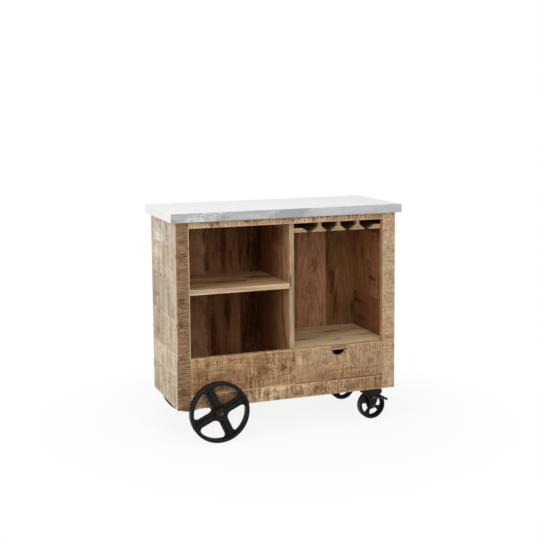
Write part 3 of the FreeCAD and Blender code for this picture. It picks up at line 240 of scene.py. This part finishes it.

# Places that stand out on a board: their middle across and up its face, in the trolley's frame (on a
# shelf or floor board across and back), half their width and height, and how strongly they show;
# pale where that is below 0.
# Most places are marks in the wood; those noted inside the table are painted shade or shadow.
PLACES = {
    "front_fixed_board": [(-0.382, 0.279, 0.024, 0.022, 0.55), (-0.119, 0.270, 0.036, 0.024, 0.6),
                          (-0.031, 0.268, 0.014, 0.016, 0.7), (0.018, 0.305, 0.008, 0.026, 0.6),
                          (-0.350, 0.313, 0.020, 0.012, 0.5), (-0.005, 0.238, 0.024, 0.024, -0.6),
                          (-0.215, 0.300, 0.030, 0.020, -0.4), (-0.255, 0.270, 0.050, 0.012, 0.3)],
    "front_bottom_rail": [(-0.104, 0.163, 0.014, 0.010, 0.6), (-0.056, 0.143, 0.016, 0.008, 0.7),
                          (0.039, 0.158, 0.030, 0.014, 0.65), (0.276, 0.160, 0.028, 0.018, 0.6),
                          (0.309, 0.160, 0.003, 0.020, 0.8), (0.134, 0.170, 0.024, 0.018, 0.45),
                          (-0.040, 0.185, 0.060, 0.008, -0.7), (0.090, 0.186, 0.050, 0.010, -0.7),
                          # The two places on the next line, behind the left wheel, are painted shadow of the
                          # wheel on the rail.
                          (-0.330, 0.165, 0.110, 0.030, 0.6), (-0.235, 0.190, 0.030, 0.016, 0.8)],
    "drawer_front": [(0.157, 0.276, 0.024, 0.012, 0.45), (0.369, 0.262, 0.016, 0.018, 0.5),
                     (0.044, 0.287, 0.012, 0.045, -0.5), (0.250, 0.225, 0.060, 0.016, -0.3)],
    "front_top_rail": [(-0.181, 0.886, 0.018, 0.008, 0.75), (0.148, 0.884, 0.008, 0.006, 0.7),
                       (-0.330, 0.884, 0.040, 0.010, 0.4), (0.020, 0.884, 0.030, 0.010, 0.4),
                       # The wide place on the next line, along the rail's top under the worktop, is painted
                       # shade.
                       (0.000, 0.897, 0.700, 0.010, 0.45)],
    "front_stile_left": [(-0.451, 0.816, 0.022, 0.012, 0.55), (-0.452, 0.757, 0.024, 0.020, 0.4),
                         (-0.459, 0.573, 0.018, 0.024, 0.65), (-0.461, 0.489, 0.014, 0.016, 0.65),
                         (-0.454, 0.208, 0.026, 0.018, 0.5), (-0.452, 0.700, 0.026, 0.010, 0.4)],
    "front_stile_right": [(0.438, 0.158, 0.012, 0.020, 0.5)],
    "left_end_plank_1": [(0.090, 0.874, 0.020, 0.020, 0.5), (0.039, 0.868, 0.012, 0.026, 0.6),
                         (-0.066, 0.842, 0.010, 0.045, 0.7), (0.060, 0.806, 0.080, 0.020, -0.5)],
    "left_end_plank_2": [(0.100, 0.740, 0.070, 0.030, -0.5), (-0.030, 0.650, 0.040, 0.020, 0.35)],
    "left_end_plank_3": [(0.120, 0.560, 0.040, 0.014, 0.5)],
    "left_end_plank_4": [(0.103, 0.405, 0.030, 0.012, 0.5), (-0.020, 0.508, 0.140, 0.008, -0.4)],
    "left_end_plank_6": [(-0.059, 0.221, 0.030, 0.004, 0.6)],
    "right_end_plank_3": [(-0.018, 0.584, 0.040, 0.014, 0.85), (0.070, 0.610, 0.060, 0.006, -0.4)],
    "right_end_plank_4": [(0.127, 0.459, 0.050, 0.012, 0.7), (0.095, 0.387, 0.050, 0.014, 0.6)],
    "back_board_1": [(0.452, 0.404, 0.010, 0.060, 0.7), (0.320, 0.600, 0.014, 0.090, 0.35)],
    # The places on back_board_4 are painted shade, darkening the board towards the divider.
    "back_board_4": [(-0.018, 0.690, 0.040, 0.080, 0.8), (-0.045, 0.380, 0.050, 0.120, 0.8),
                     (0.010, 0.560, 0.050, 0.400, 0.6)],
    "back_board_5": [(-0.166, 0.720, 0.016, 0.110, 0.8), (-0.085, 0.720, 0.014, 0.100, 0.7),
                     (-0.217, 0.350, 0.022, 0.120, 0.9), (-0.150, 0.420, 0.012, 0.080, 0.5)],
    "back_board_6": [(-0.245, 0.660, 0.016, 0.060, 0.7), (-0.330, 0.650, 0.010, 0.040, 0.5),
                     (-0.232, 0.730, 0.018, 0.180, 0.8), (-0.232, 0.420, 0.022, 0.180, 0.8)],
    "left_shelf": [(-0.210, -0.040, 0.110, 0.040, 0.75), (-0.050, 0.030, 0.070, 0.035, 1.0),
                   (-0.300, 0.060, 0.140, 0.030, -1.0), (-0.200, -0.120, 0.160, 0.012, -0.6)],
    "right_floor_board": [(0.300, 0.070, 0.040, 0.016, 0.7), (0.262, -0.085, 0.024, 0.012, 0.6),
                          (0.120, -0.030, 0.070, 0.030, 0.4), (0.330, 0.000, 0.110, 0.030, -0.5)],
}

# Knots, in the same way, with the number of rings round each.
KNOTS = {
    "back_board_2": [(0.243, 0.760, 0.062, 0.330, 9)],
    "back_board_1": [(0.330, 0.660, 0.030, 0.100, 4)],
    "right_end_plank_3": [(-0.018, 0.584, 0.110, 0.045, 4)],
    "right_end_plank_4": [(0.110, 0.430, 0.120, 0.060, 4)],
    "left_end_plank_6": [(0.0, 0.238, 0.070, 0.040, 4)],
    "front_stile_left": [(-0.455, 0.812, 0.020, 0.018, 2)],
    "drawer_front": [(0.300, 0.215, 0.240, 0.040, 2)],
    "front_fixed_board": [(-0.300, 0.262, 0.090, 0.040, 2)],
    "divider_left_board": [(0.010, 0.440, 0.030, 0.060, 3)],
}

# A darker rectangle on each face of the divider: two of its corners, across the board and up.
DIVIDER_PATCH = ((-0.094, 0.760), (0.031, 0.832))

# Patches of noise: waves per metre along, across and through a board, the noise's values (it keeps
# near 0.5) where a patch starts and where it is full, and its detail where that isn't the usual one.
# Limits alone go with a shape that a look gives, or with the noise of the fibres.
SHADE_PATCHES = ((3, 8, 8), 0.3, 0.7)
BAND_PATCHES = ((24, 4, 4), 0.44, 0.56, 3)
PALE_STREAK_PATCHES = ((2.2, 60, 60), 0.52, 0.7)
FLECKED_PATCHES = ((6, 10, 10), 0.3, 0.6)
SAWN_PATCHES = ((7, 14, 14), 0.3, 0.6)
EVEN_SAW_PATCHES = ((9, 14, 14), 0.4, 0.6, 2)
WORN_PATCHES = ((20, 60, 60), 0.2, 0.45)
DIRTY_PATCHES = ((40, 60, 60), 0.6, 0.35)
STREAK_LIMITS = (0.47, 0.7)
BLOTCH_LIMITS = (0.56, 0.66, 5)
FIBRE_LIMITS = (0.4, 0.7)

# Fibres and flecks: waves per metre, detail and roughness of their noise. Flecks are dark where it is
# above its middle and pale where it is below; lines from the saw are the other way round.
FIBRE_NOISE = ((7, 260, 260), 3, 0.6)
FLECK_NOISE = ((95, 80, 80), 6, 0.8)
DARK_FLECKS = (0.5, 0.62)
PALE_FLECKS = (0.5, 0.38)
DARK_LINES = (0.49, 0.37)
PALE_LINES = (0.51, 0.63)
PLANED_FLECK_SHARE = 0.4
FIBRE_SHARE = 0.6
BAND_SHARE = 0.4

# Growth rings: the log's middle lies behind the board and slants along it.
RING_SPACING = 0.016
RING_SWAY = ((2.2, 9, 9), 0.06)
RING_LIMITS = (-0.2, 1.0)
PITH_DEPTH = 0.05
PITH_SLOPE = 0.16

# Lines that the saw left: the spacing and the wander of the even ones, and the noise of the others.
SAW_PITCH = 0.0086
SAW_SWAY = ((6, 10, 10), 0.03)
SAW_DETAIL = (3, 0.7)

# Marks and knots: how ragged a mark's border is, and where it starts and is full as a share of its
# size; the same for a knot, and how strongly its rings show.
PLACE_NOISE = ((28, 60, 60), 5, 0.7)
PLACE_RAGGEDNESS = 2.4
PLACE_BORDER = (1.2, 0.5)
KNOT_SWAY = ((25, 25, 25), 0.5)
KNOT_RING_LIMITS = (-0.3, 0.9)
KNOT_BORDER = (1.05, 0.85)
KNOT_STRENGTH = 0.3

# Edges: how far wear, dirt, a painted highlight along top edges and painted shade along the drawer's lower
# edge reach in from them, in metres, and how strongly two of them show.
ARRIS_WEAR = 0.006
ARRIS_FULL_WEAR = 0.001
SEAM_GRIME = 0.0016
PAINTED_HIGHLIGHT_DEPTH = 0.003
PAINTED_HIGHLIGHT_SHARE = 0.55
DRAWER_GAP_SHADE = (0.008, 0.002)
DRAWER_GAP_SWAY = ((14, 1, 1), 0.012)
DRAWER_GAP_SHARE = 0.8

# Where a board's colour changes from one face to another, and where painted shade darkens it on the way back
# into the trolley.
FACE_DEPTH = 0.003
FACE_START = 0.001
DIVIDER_SEAM = 0.05
DIVIDER_SEAM_WIDTH = 0.002
PATCH_SHARE = 0.45
RAIL_SHADE_DEPTHS = (0.004, 0.03)
SHELF_SHADE_SWAY = ((3, 20, 20), 0.12)
SHELF_SHADE_PLACES = (-0.14, 0.1)
BAY_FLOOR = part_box("right_floor_board")[1].z
BAY_FLOOR_FADE = 0.01

# Each board's noises start this far from those of the board before.
SEED_STEP = 7.3
WOOD_ROUGHNESS = (0.62, 0.86)
FIBRE_RELIEF = 0.3


class Board:
    """A board's material graph, its box, and coordinates with the grain first."""

    def __init__(self, name, seed):
        self.name = name
        self.graph = Graph(bpy.data.materials.new(f"{name}_wood"))
        self.low, self.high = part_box(name)
        spans = self.high - self.low
        self.order = sorted(range(3), key=lambda axis: -spans[axis])
        self.xyz = self.graph.point()
        self.grain = self.graph.join(*[self.xyz[axis] for axis in self.order])
        self.seed = seed
        self.colour = None

    def noise(self, per_metre, detail=2.0, roughness=0.5):
        """A noise of its own at each call, as waves per metre along, across and through the board."""
        self.seed += 1
        return self.graph.noise(self.grain, per_metre, self.seed, detail, roughness)

    def patches(self, per_metre, start, end, detail=4.0, roughness=0.6):
        return self.graph.step(self.noise(per_metre, detail, roughness), start, end)

    def sway(self, per_metre, reach):
        """A slow wander to both sides, as long as reach."""
        return self.graph.times(self.graph.minus(self.noise(per_metre), 0.5), reach)

    def stain(self, mask, share, tint=STAIN):
        """Darkens or lightens the colour so far where the mask is 1."""
        self.colour = self.graph.mix(self.graph.times(mask, share), self.colour, tint, "MULTIPLY")

    def edge_distance(self):
        """Distance from the shaded point to the board's nearest edge."""
        graph = self.graph
        gaps = []
        for axis in range(3):
            from_low = graph.minus(self.xyz[axis], self.low[axis])
            from_high = graph.minus(self.high[axis], self.xyz[axis])
            gaps.append(graph.math("MINIMUM", from_low, from_high))
        near = graph.math("MINIMUM", gaps[0], gaps[1])
        far = graph.math("MAXIMUM", gaps[0], gaps[1])
        return graph.math("MAXIMUM", near, graph.math("MINIMUM", far, gaps[2]))

    def rings(self):
        """Growth rings of a flat-sawn board, which meet its face in long arches."""
        graph = self.graph
        along, across, _ = self.order
        middle = (self.low[across] + self.high[across]) / 2
        offset = graph.plus(graph.minus(self.xyz[across], middle), self.sway(*RING_SWAY))
        slope = PITH_SLOPE if int(self.seed) % 2 else -PITH_SLOPE
        depth = graph.plus(graph.times(self.xyz[along], slope), PITH_DEPTH)
        radius = graph.length(offset, depth)
        wave = graph.math("SINE", graph.times(radius, 2 * math.pi / RING_SPACING))
        return graph.step(wave, *RING_LIMITS)

    def saw_lines(self, teeth, line_shape):
        """Height of the lines that the saw left across the grain, from about 0 to 1."""
        graph = self.graph
        along = graph.plus(self.xyz[self.order[0]], self.sway(*SAW_SWAY))
        wave = graph.math("SINE", graph.times(along, 2 * math.pi / SAW_PITCH))
        even = graph.times(wave, self.patches(*EVEN_SAW_PATCHES))
        return graph.plus(graph.times(even, teeth), self.noise(line_shape, *SAW_DETAIL))

    def place_radius(self, across, up, half_width, half_height):
        """Distance from a place on the board's face, where 1 is the place's border."""
        graph = self.graph
        side = self.xyz[1] if self.name.startswith(("left_end", "right_end", "divider")) else self.xyz[0]
        height = self.xyz[1] if self.name in SHELVES else self.xyz[2]
        sideways = graph.math("DIVIDE", graph.minus(side, across), half_width)
        upwards = graph.math("DIVIDE", graph.minus(height, up), half_height)
        return graph.length(sideways, upwards)

    def place_mask(self, *place):
        """1 within a place on the board's face, with a ragged border."""
        graph = self.graph
        ragged = graph.times(graph.minus(self.noise(*PLACE_NOISE), 0.5), PLACE_RAGGEDNESS)
        return graph.step(graph.plus(self.place_radius(*place), ragged), *PLACE_BORDER)

    def knot_mask(self, *place, rings):
        """Rings round a knot, which fade towards its border."""
        graph = self.graph
        radius = graph.plus(self.place_radius(*place), self.sway(*KNOT_SWAY))
        wave = graph.math("SINE", graph.times(radius, 2 * math.pi * rings))
        return graph.times(graph.step(wave, *KNOT_RING_LIMITS), graph.step(radius, *KNOT_BORDER))


def plank_tone(board, tone):
    """An end plank: stained where it faces the bays, bleached and left from the saw elsewhere."""
    graph, name = board.graph, board.name
    inner_face = min(abs(board.low[0]), abs(board.high[0]))
    from_middle = graph.math("ABSOLUTE", board.xyz[0])
    outside = graph.step(from_middle, inner_face + FACE_START, inner_face + FACE_DEPTH)
    inside_tone = tone if name.startswith("right") and name in TONES else INSIDE_TONE
    outside_tone = tone if name.startswith("left") and name in TONES else SLOT_TONES["end_wood"]
    return graph.mix(outside, inside_tone, outside_tone), outside


def stile_tone(board, tone):
    """A stile: only its front is left from the saw, and its sides have tones of their own."""
    graph = board.graph
    x, y, _ = board.xyz
    front = graph.step(y, board.low[1] + FACE_DEPTH, board.low[1] + FACE_START)
    rightwards = graph.step(x, board.low[0] + FACE_DEPTH, board.high[0] - FACE_DEPTH)
    return graph.mix(front, graph.mix(rightwards, *STILE_SIDES[board.name]), tone), front


def divider_tone(board):
    """The divider: pale front edge, sides that darken from the front back to the seam in painted shade, a
    darker board behind the seam whose tone is partly painted shade, and a darker patch high up.
    """
    graph = board.graph
    _, y, z = board.xyz
    front = graph.step(y, DIVIDER_SEAM + DIVIDER_SEAM_WIDTH, DIVIDER_SEAM)
    toward = graph.step(y, DIVIDER_SEAM, board.low[1])
    edge = graph.step(y, board.low[1] + FACE_DEPTH, board.low[1])
    # Painted shade: the sides blend from divider_front at the front edge to the darker divider_middle at the
    # seam, lit in front and darker further back.
    sides = graph.mix(toward, TONES["divider_middle"], TONES["divider_front"])
    sides = graph.mix(front, TONES["divider_rear"], sides)
    (near, bottom), (far, top) = DIVIDER_PATCH
    patch = graph.times(graph.within(y, near, far), graph.within(z, bottom, top))
    sides = graph.mix(graph.times(patch, PATCH_SHARE), sides, STAIN, "MULTIPLY")
    return graph.mix(edge, sides, TONES["divider_edge"])


def rail_tone(board, tone):
    """A glass rail, which is in the dark behind its front end."""
    graph = board.graph
    near, far = RAIL_SHADE_DEPTHS
    behind = graph.step(board.xyz[1], board.low[1] + near, board.low[1] + far)
    return graph.mix(behind, tone, RAIL_SHADE, "MULTIPLY")


def shelf_tone(board, tone):
    """A shelf or floor board: its front edge is paler, and its top has painted shade that darkens it towards
    the back.
    """
    graph, y = board.graph, board.xyz[1]
    edge_tone, rear_shade_share = SHELVES[board.name]
    edge = graph.step(y, board.low[1] + FACE_START, board.low[1])
    # Painted shade: the top darkens towards the back, deeper in the bay.
    rear = graph.step(graph.plus(y, board.sway(*SHELF_SHADE_SWAY)), *SHELF_SHADE_PLACES)
    top = graph.mix(graph.times(rear, rear_shade_share), tone, FADED_STAIN, "MULTIPLY")
    return graph.mix(edge, top, edge_tone)


def own_tone(board):
    """The board's own colour, and 1 where its face is left from the saw."""
    graph, name = board.graph, board.name
    tone = TONES.get(name, SLOT_TONES[SLOT_OF[name]])
    if "end_plank" in name:
        return plank_tone(board, tone)
    if name in STILE_SIDES:
        return stile_tone(board, tone)
    if name.startswith("divider"):
        return divider_tone(board), 0.0
    if name.startswith("glass_rail"):
        return rail_tone(board, tone), 0.0
    if name in SHELVES:
        return shelf_tone(board, tone), 0.0
    shade = graph.mix(board.patches(*SHADE_PATCHES), SHADE, SUNNED)
    return graph.mix(1.0, tone, shade, "MULTIPLY"), 1.0


def add_grain(board, look, fibre, sawn):
    """Growth rings, fibres, bands across the board, streaks, blotches and flecks."""
    graph, stain = board.graph, look["stain"]
    board.stain(board.rings(), look["rings"], stain)
    board.stain(graph.step(fibre, *FIBRE_LIMITS), look["streaks"] * FIBRE_SHARE, stain)
    board.stain(board.patches(*BAND_PATCHES), look["bands"] * BAND_SHARE, stain)
    board.stain(board.patches(look["streak_shape"], *STREAK_LIMITS), look["streaks"], stain)
    board.stain(board.patches(*PALE_STREAK_PATCHES), look["pale_streaks"], PALE)
    board.stain(board.patches(look["blotch_shape"], *BLOTCH_LIMITS), look["blotches"], stain)
    flecks = board.noise(*FLECK_NOISE)
    area = graph.times(board.patches(*FLECKED_PATCHES), graph.between(sawn, PLANED_FLECK_SHARE, 1.0))
    board.stain(graph.times(graph.step(flecks, *DARK_FLECKS), area), look["mottle"])
    board.stain(graph.times(graph.step(flecks, *PALE_FLECKS), area), look["mottle"] * look["pale"], PALE)


def add_places(board):
    """The marks and knots that stand out on this board."""
    for *place, strength in PLACES.get(board.name, []):
        board.stain(board.place_mask(*place), abs(strength), STAIN if strength > 0 else PALE)
    for *place, rings in KNOTS.get(board.name, []):
        board.stain(board.knot_mask(*place, rings=rings), KNOT_STRENGTH)


def add_saw_lines(board, look, sawn):
    """Lines across the grain on a face left from the saw. Returns their height."""
    graph = board.graph
    lines = board.saw_lines(look["teeth"], look["line_shape"])
    area = graph.times(graph.times(board.patches(*SAWN_PATCHES), look["saw"]), sawn)
    board.stain(graph.step(lines, *DARK_LINES), area)
    board.stain(graph.step(lines, *PALE_LINES), graph.times(area, look["pale"]), PALE)
    return graph.times(lines, area)


def add_wear(board, look, edge, sawn):
    """Arrises worn pale. A stile's are worn along the bays alone."""
    graph = board.graph
    worn = graph.times(graph.step(edge, ARRIS_WEAR, ARRIS_FULL_WEAR), board.patches(*WORN_PATCHES))
    worn = graph.times(worn, look["wear"])
    if board.name.startswith("front_stile"):
        worn = graph.times(worn, graph.step(board.xyz[2], BAY_FLOOR - BAY_FLOOR_FADE, BAY_FLOOR))
    if SLOT_OF[board.name] == "end_wood":
        board.stain(worn, sawn, PALE)
    elif look["saw"]:
        board.colour = graph.mix(graph.times(worn, sawn), board.colour, BARE_WOOD)
    else:
        board.stain(worn, 1.0, PALE)


def add_dirt_highlight_and_shade(board, look, edge):
    """Dirt in the seams, a painted highlight on the top edge and top face of the front's lower boards, and
    painted shade along the drawer's lower edge, over the gap under it.
    """
    graph, z = board.graph, board.xyz[2]
    dirty = graph.times(graph.step(edge, SEAM_GRIME, 0.0), board.patches(*DIRTY_PATCHES))
    board.stain(dirty, look["grime"])
    if board.name in ("front_fixed_board", "drawer_front", "front_bottom_rail"):
        # Painted highlight: the top edge and top face of these boards are lightened as though they caught the
        # light.
        top_highlight = graph.step(z, board.high[2] - PAINTED_HIGHLIGHT_DEPTH, board.high[2] - FACE_START)
        board.stain(top_highlight, PAINTED_HIGHLIGHT_SHARE, PALE)
    if board.name == "drawer_front":
        # Painted shade along the drawer's lower edge, over the gap under it.
        start, full = DRAWER_GAP_SHADE
        wavy = graph.plus(z, board.sway(*DRAWER_GAP_SWAY))
        board.stain(graph.step(wavy, board.low[2] + start, board.low[2] + full), DRAWER_GAP_SHARE)


def wood(name, seed):
    """Wood of one board, with its grain along the board's longest side."""
    board = Board(name, seed)
    graph = board.graph
    look = BOARD_FINISHES.get(name, FINISHES.get(SLOT_OF[name], PLANED))
    board.colour, sawn = own_tone(board)
    fibre = board.noise(*FIBRE_NOISE)
    add_grain(board, look, fibre, sawn)
    add_places(board)
    relief = graph.times(fibre, FIBRE_RELIEF)
    if look["saw"]:
        relief = graph.plus(relief, add_saw_lines(board, look, sawn))
    edge = board.edge_distance()
    add_wear(board, look, edge, sawn)
    add_dirt_highlight_and_shade(board, look, edge)
    return graph.surface({"Base Color": board.colour, "Roughness": graph.between(fibre, *WOOD_ROUGHNESS),
                          "Specular IOR Level": look["gloss"], "Normal": graph.bump(relief, look["depth"])})


# ---------------------------------------------------------------- metal

# Noises of a metal: waves per metre along x, y and z, a seed, detail, and roughness where that isn't
# the usual one; and the noise's values where a patch starts and where it is full.
ZINC_CLOUDS = ((9, 6, 30), 3.0, 4, 0.6)
ZINC_WIPES = ((4, 160, 160), 5.0, 3)
MARK_WANDER = ((50, 50, 50), 8.0, 5)
SMEAR_SWIRLS = ((45, 45, 90), 6.0, 5, 0.7)
IRON_GRAIN = ((900, 900, 900), 1.0, 3)
IRON_PITS = ((160, 160, 160), 2.0, 3)
IRON_STAINS = ((25, 25, 25), 4.0, 4)
STEEL_PATCHES = ((120, 120, 120), 1.0, 4)
STEEL_SCRATCHES = ((700, 60, 700), 2.0, 2)
CLOUD_LIMITS = (0.35, 0.65)
SWIRL_LIMITS = (0.35, 0.75)
PIT_LIMITS = (0.3, 0.7)
IRON_STAIN_LIMITS = (0.45, 0.7)
STEEL_PATCH_LIMITS = (0.35, 0.65)

# The zinc's top, and its folded front edge, greyer than the top in painted shade, with clouds, a darker
# middle and a pale smear at the left.
# Spans are places along x. The edge's colour starts and is full so far behind the CAD box's front.
TOP_TONES = (srgb(240, 240, 240), srgb(247, 247, 246))
SHADED_EDGE_TONES = (srgb(129, 129, 131), srgb(172, 173, 175))
EDGE_SPAN = (-0.55, 0.25)
EDGE_DEPTHS = (0.05, 0.045)
EDGE_HEIGHT = 0.91
CLOUD_TONE = srgb(196, 197, 198)
CLOUD_SHARE = 0.45
DARK_TONE = srgb(140, 141, 144)
DARK_SHARE = 0.75
DARK_SPAN = ((-0.09, -0.05), (0.085, 0.045))
SMEAR_TONE = srgb(215, 215, 213)
SMEAR_SPAN = ((-0.45, -0.41), (-0.28, -0.33))
MARK_SLANT = -1.2
MARK_WANDER_REACH = 0.08
CRYSTALS_PER_METRE = 70
CRYSTAL_SHARE = 0.4
ZINC_METALLIC = 0.15
ZINC_ROUGHNESS = (0.42, 0.6)
ZINC_RELIEF = 0.0001


def zinc_edge(graph, place, cloud):
    """Colour of the worktop's front edge, greyer than the top as painted shade."""
    x, _, z = graph.split(place)
    colour = graph.mix(graph.step(x, *EDGE_SPAN), *SHADED_EDGE_TONES)
    colour = graph.mix(graph.times(cloud, CLOUD_SHARE), colour, CLOUD_TONE)
    wander = graph.times(graph.minus(graph.noise(place, *MARK_WANDER), 0.5), MARK_WANDER_REACH)
    slant = graph.times(graph.minus(z, EDGE_HEIGHT), MARK_SLANT)
    across = graph.plus(graph.plus(x, wander), slant)
    middle, smear = [graph.times(graph.step(across, *left), graph.step(across, *right))
                     for left, right in (DARK_SPAN, SMEAR_SPAN)]
    colour = graph.mix(graph.times(middle, DARK_SHARE), colour, DARK_TONE)
    swirl = graph.step(graph.noise(place, *SMEAR_SWIRLS), *SWIRL_LIMITS)
    return graph.mix(graph.times(smear, swirl), colour, SMEAR_TONE)


def sheet_metal():
    """Dull zinc sheet: near white on top, greyer in painted shade and clouded on its folded front edge."""
    graph = Graph(bpy.data.materials.new("zinc_sheet"))
    place = graph.join(*graph.point())
    cloud = graph.step(graph.noise(place, *ZINC_CLOUDS), *CLOUD_LIMITS)
    wiped = graph.noise(place, *ZINC_WIPES)
    cells = graph.add("ShaderNodeTexVoronoi", {"Vector": place, "Scale": CRYSTALS_PER_METRE}, "Color")
    crystal = graph.split(cells)[0]
    shade = graph.plus(graph.times(wiped, 1 - CRYSTAL_SHARE), graph.times(crystal, CRYSTAL_SHARE))
    start, full = EDGE_DEPTHS
    front = graph.step(graph.split(place)[1], CAD_BOX[0][1] + start, CAD_BOX[0][1] + full)
    # Painted shade: the front edge takes greyer tones than the top, standing in for the less light that falls
    # on the front.
    colour = graph.mix(front, graph.mix(shade, *TOP_TONES), zinc_edge(graph, place, cloud))
    return graph.surface({"Base Color": colour, "Metallic": ZINC_METALLIC,
                          "Roughness": graph.between(wiped, *ZINC_ROUGHNESS),
                          "Normal": graph.bump(graph.plus(cloud, wiped), ZINC_RELIEF)})


IRON_TONES = (srgb(11, 9, 7), srgb(22, 18, 15))
IRON_BROWN = srgb(42, 31, 23)
BROWN_SHARE = 0.5
IRON_METALLIC = 0.1
IRON_GLOSS = 0.18
IRON_ROUGHNESS = (0.36, 0.56)
IRON_RELIEF = 0.0005


def cast_iron():
    """Black cast iron with the grain of its sand mould and a trace of brown."""
    graph = Graph(bpy.data.materials.new("black_cast_iron"))
    place = graph.join(*graph.point())
    grain = graph.noise(place, *IRON_GRAIN)
    pits = graph.noise(place, *IRON_PITS)
    brown = graph.step(graph.noise(place, *IRON_STAINS), *IRON_STAIN_LIMITS)
    colour = graph.mix(graph.step(pits, *PIT_LIMITS), *IRON_TONES)
    colour = graph.mix(graph.times(brown, BROWN_SHARE), colour, IRON_BROWN)
    return graph.surface({"Base Color": colour, "Metallic": IRON_METALLIC,
                          "Roughness": graph.between(pits, *IRON_ROUGHNESS),
                          "Specular IOR Level": IRON_GLOSS,
                          "Normal": graph.bump(graph.plus(grain, pits), IRON_RELIEF)})


STEEL_TONES = (srgb(74, 68, 62), srgb(44, 39, 35))
STEEL_METALLIC = 0.6
STEEL_ROUGHNESS = (0.42, 0.62)
STEEL_RELIEF = 0.0002


def steel():
    """Plated steel, duller and darker in patches."""
    graph = Graph(bpy.data.materials.new("dull_steel"))
    place = graph.join(*graph.point())
    patches = graph.step(graph.noise(place, *STEEL_PATCHES), *STEEL_PATCH_LIMITS)
    scratches = graph.noise(place, *STEEL_SCRATCHES)
    return graph.surface({"Base Color": graph.mix(patches, *STEEL_TONES), "Metallic": STEEL_METALLIC,
                          "Roughness": graph.between(scratches, *STEEL_ROUGHNESS),
                          "Normal": graph.bump(scratches, STEEL_RELIEF)})


# ---------------------------------------------------------------- dressing the CAD's pieces

BOARD_ARRIS = 0.0012
INNER_ARRIS = 0.0004
ARRIS_STEPS = 2
ARRIS_ANGLE = math.radians(35)
SAME_POINT = 1e-6


def dress(node, material):
    node.data.materials.clear()
    node.data.materials.append(material)


def soften(node, width):
    """Rounds a board's arrises a little."""
    weld = node.modifiers.new("weld", "WELD")
    weld.merge_threshold = SAME_POINT
    bevel = node.modifiers.new("arris", "BEVEL")
    bevel.width = width
    bevel.segments = ARRIS_STEPS
    bevel.limit_method = "ANGLE"
    bevel.angle_limit = ARRIS_ANGLE
    bevel.harden_normals = True


def dress_everything():
    metals = {"sheet_metal": sheet_metal(), "cast_iron": cast_iron(), "steel": steel()}
    for index, (name, node) in enumerate(sorted(NODES.items())):
        slot = SLOT_OF[name]
        if slot in metals:
            dress(node, metals[slot])
            continue
        dress(node, wood(name, index * SEED_STEP))
        soften(node, INNER_ARRIS if slot == "inner_wood" else BOARD_ARRIS)


# ---------------------------------------------------------------- studio

# The floor's paint shows through its white by the shadow's share near the trolley, and not at all
# from the second distance on.
FLOOR_SIZE = 60
FLOOR_PAINT = srgb(244, 244, 244)
FLOOR_FADE = (0.45, 1.2)
SHADOW_SHARE = 0.13
WORLD_LIGHT = 0.27

# Each lamp: the way to it from the trolley's middle, its distance and width, and how bright it makes
# a white wall that faces it.
LAMPS = {
    "key": ((-0.85, -0.3, 0.45), 4.0, 2.6, 0.4),
    "front": ((-0.15, -1.0, 0.42), 4.8, 3.2, 0.5),
    "overhead": ((0.0, -0.12, 1.0), 3.5, 2.4, 0.25),
}
LAMP_AIM = (0, 0, 0.5)


def floor():
    """Pale floor that keeps the trolley's shadow and turns white away from it."""
    bpy.ops.mesh.primitive_plane_add(size=FLOOR_SIZE)
    plane = bpy.context.object
    plane.name = "floor"
    graph = Graph(bpy.data.materials.new("studio_floor"))
    x, y, _ = graph.point()
    away = graph.step(graph.length(x, y), *FLOOR_FADE)
    white = graph.times(graph.white_seen(), graph.between(away, 1 - SHADOW_SHARE, 1.0))
    paint = graph.add("ShaderNodeBsdfDiffuse", {"Color": FLOOR_PAINT})
    glow = graph.add("ShaderNodeEmission", {"Color": WHITE, "Strength": 1.0})
    both = graph.add("ShaderNodeMixShader", {0: white, 1: paint, 2: glow})
    dress(plane, graph.end("ShaderNodeOutputMaterial", both))


def world():
    """Even soft light, seen as white."""
    graph = Graph(bpy.data.worlds.new("studio"))
    light = graph.add("ShaderNodeBackground", {"Color": WHITE, "Strength": WORLD_LIGHT})
    white = graph.add("ShaderNodeBackground", {"Color": WHITE, "Strength": 1.0})
    both = graph.add("ShaderNodeMixShader", {0: graph.white_seen(), 1: light, 2: white})
    bpy.context.scene.world = graph.end("ShaderNodeOutputWorld", both)


def lamp(name, toward, distance, width, share):
    """A square soft light."""
    data = bpy.data.lights.new(name, "AREA")
    data.shape = "SQUARE"
    data.size = width
    data.energy = share * math.pi ** 2 * distance ** 2
    light = bpy.data.objects.new(name, data)
    bpy.context.scene.collection.objects.link(light)
    direction = Vector(toward).normalized()
    light.location = Vector(LAMP_AIM) + direction * distance
    light.rotation_euler = direction.to_track_quat("Z", "Y").to_euler()


def camera():
    data = bpy.data.cameras.new("camera")
    data.sensor_width = SENSOR_WIDTH
    data.lens = FOCAL_LENGTH_PIXELS / IMAGE_SIZE * SENSOR_WIDTH
    data.shift_y = SHIFT_UP
    view = bpy.data.objects.new("camera", data)
    bpy.context.scene.collection.objects.link(view)
    turn = (Matrix.Rotation(-CAMERA_YAW, 4, "Z") @ Matrix.Rotation(math.pi / 2 - CAMERA_PITCH, 4, "X")
            @ Matrix.Rotation(CAMERA_ROLL, 4, "Z"))
    view.matrix_world = Matrix.Translation(CAMERA_PLACE) @ turn
    bpy.context.scene.camera = view


def studio():
    floor()
    world()
    for name, settings in LAMPS.items():
        lamp(name, *settings)
    camera()
    bpy.context.scene.view_settings.view_transform = "Standard"


dress_everything()
studio()
